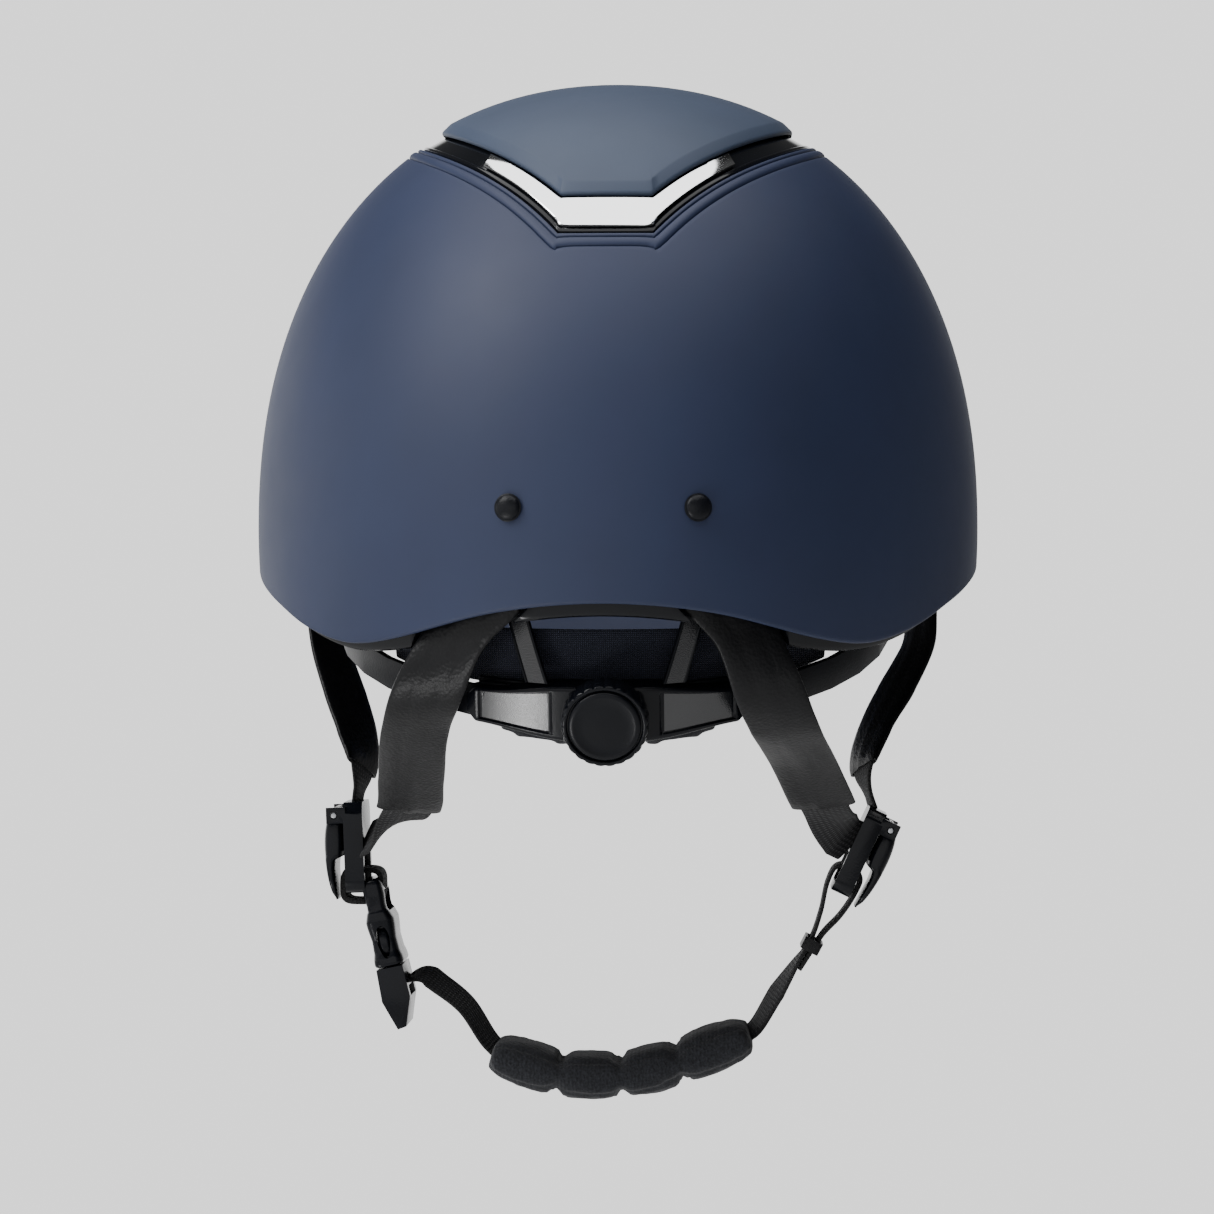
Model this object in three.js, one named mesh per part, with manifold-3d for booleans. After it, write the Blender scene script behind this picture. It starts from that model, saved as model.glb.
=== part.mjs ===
// Equestrian riding helmet with a raised centre panel, a dial-adjusted nape cradle and a
// four-point harness with a side-release buckle and a padded chin strap.
// Millimetres. +Z is up, the peak points to +Y and +X is the wearer's right. The origin is the
// centre of the head opening, level with the shell's rim at the side.
import * as THREE from 'three';
import { mergeVertices } from 'three/addons/utils/BufferGeometryUtils.js';
import Module from 'manifold-3d';

const wasm = await Module();
wasm.setup();

// ---------------------------------------------------------------- driving dimensions
const SHELL = { halfWidth: 113, rear: 133, front: 128, equator: 10, height: 136.8, wall: 2.4 };
const SQUARENESS = 2.2;               // exponent of the dome's profile; 2 would be an ellipse
const TUCK = { share: 0.03, depth: 38 };  // how far the skirt turns in below the equator
const SKIRT = 100;                    // skirt height that one unit of the profile parameter covers
const RIM = [[0, -14], [16, -16.5], [34, -24], [44, -25.5], [54, -21.5], [66, -13.5], [84, -4], [98, 0],
  [120, 4], [150, 8], [180, 9]];      // angle from the rear, height of the shell's lower edge
const PLATEAU_Y = -5;                 // the channel and panel outlines are symmetric about this y
const CHANNEL = { end: 14, side: 47.5, reach: 104, power: 2.3 };
const PANEL = { end: 13.2, side: 41.5, reach: 95, power: 2.3 };
const RECESS = 2.6;
const FOAM = { outer: -3.6, recessed: -6.8, inner: -25, rise: 7.5, napeRise: 15 };
const PAD = { outer: -27, inner: -33.5 };
const PEAK = { span: 83, length: 50, drop: 37, root: 12, side: 5 };
const WEBBING = { width: 15, thick: 1.2 };
const SLEEVE = { width: 20, thick: 5, bore: 3.2, boreWidth: 17.4 };
const REAR_RIVET = { angle: 13.8, z: 13.5 };
const FRONT_RIVET = { angle: 115, z: 24 };
const HEAD = { y: -27, z: -16.3, tilt: 20 };   // cradle pivot through the temples, and its tilt
const ARM = { radius: 84, thick: 1.8 };
const PINION = { teeth: 9, module: 0.8 };
const HARNESS = { y: -2, pivotZ: -102.5 };     // line through both dividers' lower bars
const GAP = 0.35;

const DEG = Math.PI / 180;
const v = (x, y, z) => new THREE.Vector3(x, y, z);
const p2 = (x, y) => new THREE.Vector2(x, y);

// ---------------------------------------------------------------- materials
const finish = (color, roughness, metalness = 0) =>
  new THREE.MeshStandardMaterial({ color, roughness, metalness });
const NAVY = finish(0x2c3450, 0.62);
const PANEL_NAVY = finish(0x3c4658, 0.6);
const GLOSS_BLACK = finish(0x07080b, 0.12);
const CHROME = finish(0xe6e8ea, 0.08, 1);
const FOAM_BLACK = finish(0x1a1b1e, 0.95);
const LINING = finish(0x15161a, 0.95);
const MESH_CLOTH = finish(0x121830, 0.95);
const LEATHER = finish(0x1c1d20, 0.55);
const WEB = finish(0x101113, 0.9);
const PLASTIC = finish(0x131417, 0.45);
const STEEL = finish(0x8b8e93, 0.35, 1);

// ---------------------------------------------------------------- solids
// An indexed, outward-facing body from points and triangles; coincident points are merged.
function body(points, triangles) {
  const raw = new THREE.BufferGeometry();
  raw.setAttribute('position', new THREE.Float32BufferAttribute(points.flatMap((p) => p.toArray()), 3));
  raw.setIndex(triangles.flat());
  const merged = mergeVertices(raw, 1e-4);
  const at = merged.getAttribute('position');
  const index = merged.getIndex().array;
  const kept = [];
  let volume = 0;
  for (let i = 0; i < index.length; i += 3) {
    const [a, b, c] = [index[i], index[i + 1], index[i + 2]];
    if (a === b || b === c || c === a) continue;
    kept.push(a, b, c);
    const corner = (k) => v().fromBufferAttribute(at, k);
    volume += corner(a).dot(corner(b).cross(corner(c)));
  }
  if (volume < 0) {
    for (let i = 0; i < kept.length; i += 3) [kept[i], kept[i + 1]] = [kept[i + 1], kept[i]];
  }
  merged.setIndex(kept);
  return merged;
}

// Triangles of a flat ring, wound as the ring runs.
function capTriangles(ring) {
  const normal = v();
  ring.forEach((p, i) => normal.add(p.clone().cross(ring[(i + 1) % ring.length])));
  normal.normalize();
  const across = v(1, 0, 0);
  if (Math.abs(normal.x) > 0.8) across.set(0, 1, 0);
  across.addScaledVector(normal, -across.dot(normal)).normalize();
  const up = normal.clone().cross(across);
  const flat = ring.map((p) => p2(p.dot(across), p.dot(up)));
  return THREE.ShapeUtils.triangulateShape(flat, []).map(([a, b, c]) => {
    const turn = flat[b].clone().sub(flat[a]).cross(flat[c].clone().sub(flat[a]));
    return turn > 0 ? [a, b, c] : [a, c, b];
  });
}

// A skin over equal rings of points: capped at both ends, or joined end to start when closed.
function loft(rings, closed = false) {
  const count = rings[0].length;
  const triangles = [];
  for (let i = 0; i < (closed ? rings.length : rings.length - 1); i++) {
    const near = i * count;
    const far = ((i + 1) % rings.length) * count;
    for (let j = 0; j < count; j++) {
      const k = (j + 1) % count;
      triangles.push([near + j, far + j, far + k], [near + j, far + k, near + k]);
    }
  }
  if (!closed) {
    const end = (rings.length - 1) * count;
    capTriangles(rings[0]).forEach((t) => triangles.push(t));
    capTriangles(rings.at(-1)).forEach(([a, b, c]) => triangles.push([end + c, end + b, end + a]));
  }
  return body(rings.flat(), triangles);
}

function extrude(shape, depth, curveSegments = 6) {
  const geometry = new THREE.ExtrudeGeometry(shape, { depth, bevelEnabled: false, curveSegments });
  return merge(geometry.translate(0, 0, -depth / 2));
}

function merge(geometry) {
  geometry.deleteAttribute('normal');
  geometry.deleteAttribute('uv');
  return mergeVertices(geometry, 1e-4);
}

// A body turned from a closed half-profile of [radius, height] pairs, standing along +Z.
function turned(profile, segments = 20) {
  const points = profile.map(([r, h]) => p2(r, h));
  const lathe = merge(new THREE.LatheGeometry(points, segments).rotateX(90 * DEG));
  const at = lathe.getAttribute('position');
  const index = lathe.getIndex().array;
  const corners = Array.from({ length: at.count }, (_, i) => v().fromBufferAttribute(at, i));
  const faces = [];
  for (let i = 0; i < index.length; i += 3) faces.push([index[i], index[i + 1], index[i + 2]]);
  return body(corners, faces);
}

const block = (x, y, z) => merge(new THREE.BoxGeometry(x, y, z));

function roundedRectangle(width, height, radius) {
  const [x, y] = [width / 2 - radius, height / 2 - radius];
  const shape = new THREE.Shape();
  shape.absarc(x, y, radius, 0, 90 * DEG);
  shape.absarc(-x, y, radius, 90 * DEG, 180 * DEG);
  shape.absarc(-x, -y, radius, 180 * DEG, 270 * DEG);
  shape.absarc(x, -y, radius, 270 * DEG, 360 * DEG);
  return shape;
}

function toManifold(geometry) {
  return new wasm.Manifold(new wasm.Mesh({
    numProp: 3,
    vertProperties: new Float32Array(geometry.getAttribute('position').array),
    triVerts: new Uint32Array(geometry.getIndex().array),
  }));
}

function fromManifold(solid) {
  const { vertProperties, triVerts } = solid.getMesh();
  const geometry = new THREE.BufferGeometry();
  geometry.setAttribute('position', new THREE.BufferAttribute(new Float32Array(vertProperties), 3));
  geometry.setIndex(new THREE.BufferAttribute(new Uint32Array(triVerts), 1));
  return geometry;
}

const cut = (geometry, tools) =>
  fromManifold(tools.reduce((solid, tool) => solid.subtract(toManifold(tool)), toManifold(geometry)));
const join = (parts) =>
  fromManifold(parts.slice(1).reduce((solid, part) => solid.add(toManifold(part)), toManifold(parts[0])));

const helmet = new THREE.Group();
function add(name, geometry, material, group = helmet) {
  const mesh = new THREE.Mesh(geometry, material);
  mesh.name = name;
  group.add(mesh);
  return mesh;
}

// ---------------------------------------------------------------- dome surface
// A value read along a smooth line through knots of [x, value].
function along(knots, x) {
  const last = knots.length - 1;
  const slope = (i) => {
    const [a, b] = [knots[Math.max(i - 1, 0)], knots[Math.min(i + 1, last)]];
    return i === 0 || i === last ? 0 : (b[1] - a[1]) / (b[0] - a[0]);
  };
  let i = 0;
  while (i < last - 1 && x > knots[i + 1][0]) i++;
  const span = knots[i + 1][0] - knots[i][0];
  const t = THREE.MathUtils.clamp((x - knots[i][0]) / span, 0, 1);
  const [a, b] = [knots[i][1], knots[i + 1][1]];
  const hermite = (2 * t ** 3 - 3 * t ** 2 + 1) * a + (3 * t ** 2 - 2 * t ** 3) * b;
  return hermite + span * ((t ** 3 - 2 * t ** 2 + t) * slope(i) + (t ** 3 - t ** 2) * slope(i + 1));
}

const fromRear = (angle) => Math.abs(((angle + 540) % 360) - 180);
const rimHeight = (angle) => along(RIM, fromRear(angle));

// The profile parameter runs from 0 at the crown to 1 at the equator and on down the skirt.
function profileAt(u) {
  if (u > 1) {
    const down = (u - 1) * SKIRT;
    return { reach: 1 - TUCK.share * (down / TUCK.depth) ** 2, z: SHELL.equator - down };
  }
  const power = 2 / SQUARENESS;
  return {
    reach: Math.sin(u * 90 * DEG) ** power,
    z: SHELL.equator + SHELL.height * Math.max(Math.cos(u * 90 * DEG), 0) ** power,
  };
}

function profileFor(z) {
  if (z < SHELL.equator) return 1 + (SHELL.equator - z) / SKIRT;
  return Math.acos(((z - SHELL.equator) / SHELL.height) ** (SQUARENESS / 2)) / (90 * DEG);
}

function onSurface(angle, u) {
  const { reach, z } = profileAt(u);
  const length = Math.cos(angle * DEG) > 0 ? SHELL.rear : SHELL.front;
  return v(reach * SHELL.halfWidth * Math.sin(angle * DEG), -reach * length * Math.cos(angle * DEG), z);
}

function domeNormal(angle, u) {
  const at = Math.max(u, 0.01);
  const step = 0.004;
  const down = onSurface(angle, at + step).sub(onSurface(angle, at - step));
  const round = onSurface(angle + 0.5, at).sub(onSurface(angle - 0.5, at));
  return down.cross(round).normalize();
}

// A point on the dome, moved out from the surface; inward offsets are negative.
function dome(angle, u, offset = 0) {
  if (u === 0) return v(0, 0, profileAt(0).z + offset);
  return onSurface(angle, u).addScaledVector(domeNormal(angle, u), offset);
}

const spread = (from, to, count) =>
  Array.from({ length: count + 1 }, (_, i) => from + (to - from) * (i / count));

const halfWidthAt = (outline, y) =>
  outline.end + outline.side * (1 - Math.abs((y - PLATEAU_Y) / outline.reach) ** outline.power);

// Where a meridian leaves a plateau outline.
function edgeOf(outline, angle) {
  let [inside, outside] = [0, 1];
  for (let i = 0; i < 40; i++) {
    const u = (inside + outside) / 2;
    const { x, y } = onSurface(angle, u);
    const within = Math.abs(y - PLATEAU_Y) < outline.reach && Math.abs(x) < halfWidthAt(outline, y);
    if (within) inside = u; else outside = u;
  }
  return inside;
}

// Meridians shared by every shell layer; the odd ones run through the outlines' corners.
const HALF_TURN = [0, 4.5, 8.6, 9.05, 14, 20, ...spread(29, 160, 12), 170.35, 170.9];
const MERIDIANS = [...HALF_TURN, 180, ...HALF_TURN.slice(1).reverse().map((a) => 360 - a)];
const PER_MM = 1 / 165;               // profile parameter that one millimetre along the dome covers

const WALL_STEPS = 7;
const wallSamples = (angle) =>
  spread(edgeOf(CHANNEL, angle) + 3.2 * PER_MM, profileFor(rimHeight(angle)), WALL_STEPS);

const domeRing = (section) => loft(MERIDIANS.map(section), true);

// ---------------------------------------------------------------- straps
// Stations along a flat strap: a smooth line through route, with the width direction given at
// each of its points.
function stations(route, count) {
  const curve = new THREE.CatmullRomCurve3(route.map((r) => v(...r.at)), false, 'centripetal');
  return spread(0, 1, count).map((t) => {
    const place = t * (route.length - 1);
    const i = Math.min(Math.floor(place), route.length - 2);
    const across = v(...route[i].across).lerp(v(...route[i + 1].across), place - i);
    const run = curve.getTangent(t);
    across.addScaledVector(run, -across.dot(run)).normalize();
    return { at: curve.getPoint(t), across, out: across.clone().cross(run) };
  });
}

// The corners of a strap's section, with rounded sides when it is soft.
function sectionOf(station, width, thick, soft) {
  const [w, t] = [width / 2, thick / 2];
  const corners = soft
    ? [[-w, 0], [-w + t, -t], [w - t, -t], [w, 0], [w - t, t], [-w + t, t]]
    : [[-w, -t], [w, -t], [w, t], [-w, t]];
  return corners.map(([a, b]) => station.at.clone()
    .addScaledVector(station.across, a).addScaledVector(station.out, b));
}

const ribbon = (line, width, thick, soft = false) =>
  loft(line.map((station) => sectionOf(station, width, thick, soft)));

function tube(line) {
  const outer = line.map((s) => sectionOf(s, SLEEVE.width, SLEEVE.thick, true));
  const inner = line.map((s) => sectionOf(s, SLEEVE.boreWidth, SLEEVE.bore, true));
  return loft([...outer, ...inner.reverse()], true);
}

// A strip of constant thickness that follows a line in the XZ plane, as wide as width along Y.
function bentStrip(route, thick, width, count) {
  const curve = new THREE.CatmullRomCurve3(route.map(([x, z]) => v(x, HARNESS.y, z)), false, 'centripetal');
  const line = spread(0, 1, count).map((t) => {
    const run = curve.getTangent(t);
    return { at: curve.getPoint(t), across: v(0, 1, 0), out: v(-run.z, 0, run.x) };
  });
  return ribbon(line, width, thick);
}

// ---------------------------------------------------------------- harness routes
// A strap's point against the shell's inner face, lying flat on it.
function pinned(angle, z, depth = 4.4) {
  const u = profileFor(z);
  return { at: dome(angle, u, -depth).toArray(), across: v(0, 0, 1).cross(domeNormal(angle, u)).toArray() };
}

const hanging = (points) => points.map(([x, y, z, ...across]) => ({ at: [x, y, z], across }));

function rearRoute(side) {
  const left = [[-41, -114.4, -20, 0.85, -0.5, 0], [-52, -107, -40, 1, -0.25, 0], [-57, -90, -52, 1, 0, 0],
    [-60.6, -60, -67, 1, 0, 0], [-64, -36, -78, 1, 0, 0], [-76.4, -14, -86.5, 0.5, 0.2, 0.9]];
  const right = [[39.2, -115.4, -20, 0.85, 0.45, 0], [46.4, -110.8, -37, 0.95, 0.3, 0],
    [51.6, -98.4, -49.5, 1, 0.15, 0], [58, -64, -62, 1, 0, 0], [65, -36, -77, 1, 0, 0],
    [70.5, -13, -86.5, 0.6, -0.2, 0.8]];
  const angle = side * REAR_RIVET.angle;
  const top = [pinned(angle, 22), pinned(angle, 13.5), pinned(angle, -2, 5.8)];
  return top.concat(hanging(side < 0 ? left : right));
}

function frontRoute(side) {
  const left = [[-99.5, 42, 3, 0.25, 1, 0.2], [-97, 31, -12, 0.3, 1, 0.3], [-93, 22, -29, 0.38, 1, 0.3],
    [-87.8, 14, -43, 0.42, 1, 0.3], [-83.2, 6, -56, 0.42, 1, 0.2], [-81.4, 0, -67, 0.3, 1, 0],
    [-82.2, -1.6, -73.9, 0.1, 1, 0]];
  const right = [[99, 42, 3, -0.25, 1, 0.2], [97, 31, -12, -0.3, 1, 0.3], [95, 22, -27, -0.3, 1, 0.3],
    [88, 14, -41, -0.35, 1, 0.3], [80.5, 6, -55, -0.35, 1, 0.2], [77.4, 0, -67, -0.3, 1, 0.1],
    [79.3, -1.5, -75.2, -0.1, 1, 0]];
  const top = [[116.5, 31], [115, 24], [112.5, 14]].map(([angle, z]) => {
    const point = pinned(side * angle, z);
    return { ...point, across: point.across.map((value) => side * value) };
  });
  return top.concat(hanging(side < 0 ? left : right));
}

const STATIONS = 56;
// sleeve gives the first station under the leather and the one after its last; notch is the
// thickness that the strap's way through the bezel needs.
const STRAPS = [
  { name: 'rear_left', route: rearRoute(-1), rivet: REAR_RIVET, side: -1, sleeve: [17, 49], notch: 8 },
  { name: 'rear_right', route: rearRoute(1), rivet: REAR_RIVET, side: 1, sleeve: [17, 49], notch: 8 },
  { name: 'front_left', route: frontRoute(-1), rivet: FRONT_RIVET, side: -1, sleeve: [18, 50], notch: 5.2 },
  { name: 'front_right', route: frontRoute(1), rivet: FRONT_RIVET, side: 1, sleeve: [18, 50], notch: 5.6 },
].map((strap) => ({ ...strap, line: stations(strap.route, STATIONS) }));

// Turns a body that stands on its base along +Z so that it points out of the dome at a rivet.
function atRivet(strap, geometry, offset) {
  const u = profileFor(strap.rivet.z);
  const normal = domeNormal(strap.side * strap.rivet.angle, u);
  const place = dome(strap.side * strap.rivet.angle, u, offset);
  const turn = new THREE.Quaternion().setFromUnitVectors(v(0, 0, 1), normal);
  return geometry.applyMatrix4(new THREE.Matrix4().compose(place, turn, v(1, 1, 1)));
}

const rivetHole = (strap) =>
  atRivet(strap, turned([[0, -10], [2.4, -10], [2.4, 3], [0, 3]], 10), 0);
const channelFor = (strap, thick) => ribbon(strap.line.slice(0, STATIONS / 2), 22.6, thick);
const platePocket = (strap) => atRivet(strap, block(23, 19, 5.4).translate(0, 0, -5.4), 0);

// ---------------------------------------------------------------- shell and its trim
function outerShell() {
  const section = (angle) => {
    const edge = edgeOf(CHANNEL, angle);
    const rim = profileFor(rimHeight(angle));
    const skin = (us, offset) => us.map((u) => dome(angle, u, offset));
    return [
      ...skin(spread(0, edge, 3), -RECESS),
      ...skin(spread(edge, rim, 7), 0),
      ...skin(wallSamples(angle).reverse(), -SHELL.wall),
      ...skin(spread(edge + 3.2 * PER_MM, 0, 3), -RECESS - SHELL.wall),
    ];
  };
  return cut(domeRing(section), STRAPS.map(rivetHole));
}

function channelTrim() {
  return domeRing((angle) => {
    const inner = edgeOf(PANEL, angle) - 5 * PER_MM;
    const outer = edgeOf(CHANNEL, angle) - 0.9 * PER_MM;
    const us = spread(inner, outer, 2);
    return [...us.map((u) => dome(angle, u, -1)), ...us.reverse().map((u) => dome(angle, u, -2.25))];
  });
}

function centrePanel() {
  return domeRing((angle) => {
    const edge = edgeOf(PANEL, angle);
    return [
      ...spread(0, edge - 2 * PER_MM, 5).map((u) => dome(angle, u, 1.8)),
      dome(angle, edge, 0.7), dome(angle, edge, -0.45),
      ...spread(edge - 7 * PER_MM, 0, 3).map((u) => dome(angle, u, -0.55)),
    ];
  });
}

function chromeTrim() {
  const angles = [-29, -20, -14, -9.05, -8.6, 0, 8.6, 9.05, 14, 20, 29];
  return loft(angles.map((angle) => {
    const inner = edgeOf(PANEL, angle) + 1.2 * PER_MM;
    const outer = edgeOf(CHANNEL, angle) - 2.2 * PER_MM;
    const us = spread(inner, outer, 2);
    return [...us.map((u) => dome(angle, u, 0.5)), ...us.reverse().map((u) => dome(angle, u, -0.5))];
  }));
}

function foamLiner() {
  const section = (angle) => {
    const edge = edgeOf(CHANNEL, angle) + 3.2 * PER_MM;
    const nape = THREE.MathUtils.smoothstep(fromRear(angle), 34, 60);
    const rise = THREE.MathUtils.lerp(FOAM.napeRise, FOAM.rise, nape);
    const rim = profileFor(rimHeight(angle) + rise);
    const skin = (us, offset) => us.map((u) => dome(angle, u, offset));
    return [
      ...skin(spread(0, edge, 3), FOAM.recessed),
      ...skin([edge + 2 * PER_MM, ...wallSamples(angle).slice(1, -1), rim], FOAM.outer),
      ...skin(spread(rim, 0.15, 7), FOAM.inner),
      dome(angle, 0, FOAM.inner),
    ];
  };
  const tools = STRAPS.flatMap((strap) => [channelFor(strap, 14), platePocket(strap)]);
  const brackets = [-1, 1].map((side) => block(5.5, 17, 40).translate(side * 87.6, HEAD.y, 0));
  return cut(domeRing(section), [...tools, ...brackets]);
}

function rimBezel() {
  const section = (angle) => {
    const nape = THREE.MathUtils.smoothstep(fromRear(angle), 30, 44);
    const rim = rimHeight(angle);
    const depth = THREE.MathUtils.lerp(-15, -16.5, nape);
    const lower = THREE.MathUtils.lerp(4.2, 2.8, nape);
    const at = (z, offset) => dome(angle, profileFor(z), offset);
    return [at(rim + 5.8, -3), at(rim - lower + 1, -3), at(rim - lower, -4.4),
      at(rim - 1.4, depth), at(rim + 0.6, depth), at(rim + 5.8, -5.4)];
  };
  return cut(domeRing(section), STRAPS.map((strap) => channelFor(strap, strap.notch)));
}

function peakEdge(s) {
  const angle = 180 + PEAK.span * s;
  const root = dome(angle, profileFor(PEAK.root + (PEAK.side - PEAK.root) * s * s), 0.5);
  const reach = 2 + PEAK.length * (1 - Math.abs(s) ** 2.3);
  const ahead = domeNormal(angle, 1).setZ(0).multiplyScalar(0.35).add(v(0, 1, 0)).normalize();
  const tip = root.clone().addScaledVector(ahead, reach);
  tip.z -= PEAK.drop * (reach / (2 + PEAK.length)) ** 1.15;
  return { root, tip };
}

const PEAK_STEPS = spread(-1, 1, 22);

function peak() {
  return loft(PEAK_STEPS.map((s) => {
    const { root, tip } = peakEdge(s);
    const arch = 3 * (1 - s * s);
    const upper = spread(0, 1, 4).map((t) => root.clone().lerp(tip, t).add(v(0, 0, arch * 4 * t * (1 - t))));
    const lower = spread(1, 0, 4).map((t) => root.clone().lerp(tip, t)
      .add(v(0, 0, arch * 4 * t * (1 - t) - 2.2 - 1.6 * (1 - t))));
    return [...upper, ...lower];
  }));
}

// A bead round the peak's free edge.
function peakTrim() {
  return loft(PEAK_STEPS.map((s) => {
    const { root, tip } = peakEdge(s);
    const out = tip.clone().sub(root).setZ(0).normalize();
    const middle = tip.clone().addScaledVector(out, 1.7).add(v(0, 0, -1.1));
    return spread(0, 300, 5).map((turn) => middle.clone()
      .addScaledVector(out, 1.3 * Math.cos(turn * DEG)).add(v(0, 0, 2 * Math.sin(turn * DEG))));
  }));
}

// A pad on the foam's inner face between two angles and two heights, puffed towards the head.
function liningPad(from, to, low, high, closedRound = false) {
  const angles = closedRound ? MERIDIANS : spread(from, to, 10);
  return loft(angles.map((angle) => {
    const us = spread(profileFor(high), profileFor(low), 4);
    const inner = us.map((u, i) => dome(angle, u, PAD.inner + (i === 0 || i === 4 ? 2.4 : 0)));
    return [...us.map((u) => dome(angle, u, PAD.outer)), ...inner.reverse()];
  }), closedRound);
}

function crownPad() {
  return domeRing((angle) => {
    const us = spread(0, 0.42, 3);
    return [...us.map((u) => dome(angle, u, PAD.outer)),
      ...us.reverse().map((u, i) => dome(angle, u, PAD.inner + (i === 0 ? 2.4 : 0)))];
  });
}

function addShell() {
  add('outer_shell', outerShell(), NAVY);
  add('centre_panel', centrePanel(), PANEL_NAVY);
  add('channel_trim', channelTrim(), GLOSS_BLACK);
  add('chrome_trim', chromeTrim(), CHROME);
  add('peak', peak(), NAVY);
  add('peak_trim', peakTrim(), GLOSS_BLACK);
  add('foam_liner', foamLiner(), FOAM_BLACK);
  add('rim_bezel', rimBezel(), GLOSS_BLACK);
  add('crown_pad', crownPad(), LINING);
  add('brow_pad', liningPad(128, 232, 20, 48), LINING);
  add('side_pad_left', liningPad(-116, -62, 20, 46), LINING);
  add('side_pad_right', liningPad(62, 116, 20, 46), LINING);
}

// ---------------------------------------------------------------- straps, sleeves and rivets
// A domed head outside the shell, a shank through it and a clinched end behind the anchor plate.
const RIVET = [[0, -8.6], [3, -8.6], [3, -7.6], [1.9, -7.6], [1.9, 0.5], [4, 0.5], [3.2, 1.8], [0, 2.6]];

function addStraps() {
  for (const strap of STRAPS) {
    const web = ribbon(strap.line, WEBBING.width, WEBBING.thick);
    const [from, to] = strap.sleeve;
    add(`strap_${strap.name}`, cut(web, [rivetHole(strap)]), WEB);
    add(`sleeve_${strap.name}`, tube(strap.line.slice(from, to)), LEATHER);
    add(`rivet_${strap.name}`, atRivet(strap, turned(RIVET, 12), 0), PLASTIC);
    const plate = cut(extrude(roundedRectangle(17, 13, 3), 1.3, 2).translate(0, 0, -6.6),
      [turned([[0, -10], [2.4, -10], [2.4, 3], [0, 3]], 12)]);
    add(`anchor_plate_${strap.name}`, atRivet(strap, plate, 0), STEEL);
  }
}

// ---------------------------------------------------------------- nape cradle
const cradle = new THREE.Group();
cradle.position.set(0, HEAD.y, HEAD.z);
cradle.rotation.x = HEAD.tilt * DEG;
helmet.add(cradle);

// A point at an arc length and height on a cylinder round the cradle's own upright axis.
const onArc = (arc, height, radius) =>
  v(radius * Math.sin(arc / ARM.radius), -radius * Math.cos(arc / ARM.radius), height);

// A strip bent on that cylinder; bounds gives its lowest and highest edge along the arc.
function arcStrip(arcs, bounds, inner, outer) {
  return loft(arcs.map((arc) => {
    const [low, high] = bounds(arc);
    return [onArc(arc, low, inner), onArc(arc, high, inner), onArc(arc, high, outer), onArc(arc, low, outer)];
  }));
}

// A soft pad on that cylinder, thinner round its edge.
function arcPad(arcs, bounds, inner, outer) {
  return loft(arcs.map((arc) => {
    const [low, high] = bounds(arc);
    const edge = 2;
    return [onArc(arc, low, outer), onArc(arc, low, inner + 1.6), onArc(arc, low + edge, inner),
      onArc(arc, high - edge, inner), onArc(arc, high, inner + 1.6), onArc(arc, high, outer)];
  }));
}

const COVER = { half: 41, middle: 8.6, end: 7.7, wall: 0.9 };
const coverHeight = (arc) =>
  COVER.end + (COVER.middle - COVER.end) * THREE.MathUtils.clamp(1.25 - Math.abs(arc) / COVER.half, 0, 1);

function cradleCover() {
  const section = (arc) => {
    const h = coverHeight(arc);
    const inside = h - COVER.wall;
    return [[h, 80.6], [h, 88], [-h, 88], [-h, 80.6], [-inside, 80.6], [-inside, 85.6], [inside, 85.6],
      [inside, 80.6]].map(([height, radius]) => onArc(arc, height, radius));
  };
  const bore = alongDial(turned([[0, 80], [2.6, 80], [2.6, 92], [0, 92]], 16));
  return cut(loft(spread(-COVER.half, COVER.half, 14).map(section)), [bore, ...[-1, 1].map(screwHole)]);
}

// Stands a body that was made along +Z on the dial's axis, which points to the rear.
const alongDial = (geometry) => geometry.rotateX(90 * DEG);

function dialKnob() {
  const grip = new THREE.Shape();
  const lobes = 24;
  const outline = spread(0, 2 * lobes, 2 * lobes).slice(0, -1).map((i) => {
    const turn = i * (180 / lobes) * DEG;
    const radius = i % 2 ? 12.1 : 12.7;
    return p2(radius * Math.cos(turn), radius * Math.sin(turn));
  });
  grip.setFromPoints(outline);
  const ring = extrude(grip, 7.8).translate(0, 0, 92.6);
  const recess = turned([[0, 95.2], [10.9, 95.2], [10.9, 98], [0, 98]], 32);
  const shaft = turned([[0, 82.9], [2, 82.9], [2, 89], [0, 89]], 16);
  return alongDial(join([cut(ring, [recess]), shaft]));
}

const dialCap = () =>
  alongDial(turned([[0, 95.6], [10.5, 95.6], [10.5, 96.2], [9.6, 96.9], [0, 97.2]], 28));

// A spur wheel with straight-sided teeth, thinner than its racks' gaps.
function pinion() {
  const pitch = PINION.module * PINION.teeth / 2;
  const shape = new THREE.Shape();
  const points = [];
  for (let tooth = 0; tooth < PINION.teeth; tooth++) {
    const middle = 90 * DEG + (tooth * 2 * Math.PI) / PINION.teeth;
    [[-0.3, 0.82], [-0.075, 1.19], [0.075, 1.19], [0.3, 0.82]].forEach(([share, reach]) => {
      const turn = middle + (share * Math.PI) / PINION.teeth * 1.6;
      points.push(p2(pitch * reach * Math.cos(turn), pitch * reach * Math.sin(turn)));
    });
  }
  shape.setFromPoints(points);
  const bore = turned([[0, 70], [2.25, 70], [2.25, 99], [0, 99]], 16);
  return alongDial(cut(extrude(shape, ARM.thick).translate(0, 0, ARM.radius), [bore]));
}

const RACK = { half: 16, root: 4.55, tip: 3.25, top: 6.3, wideFrom: 37, end: 148 };

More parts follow.
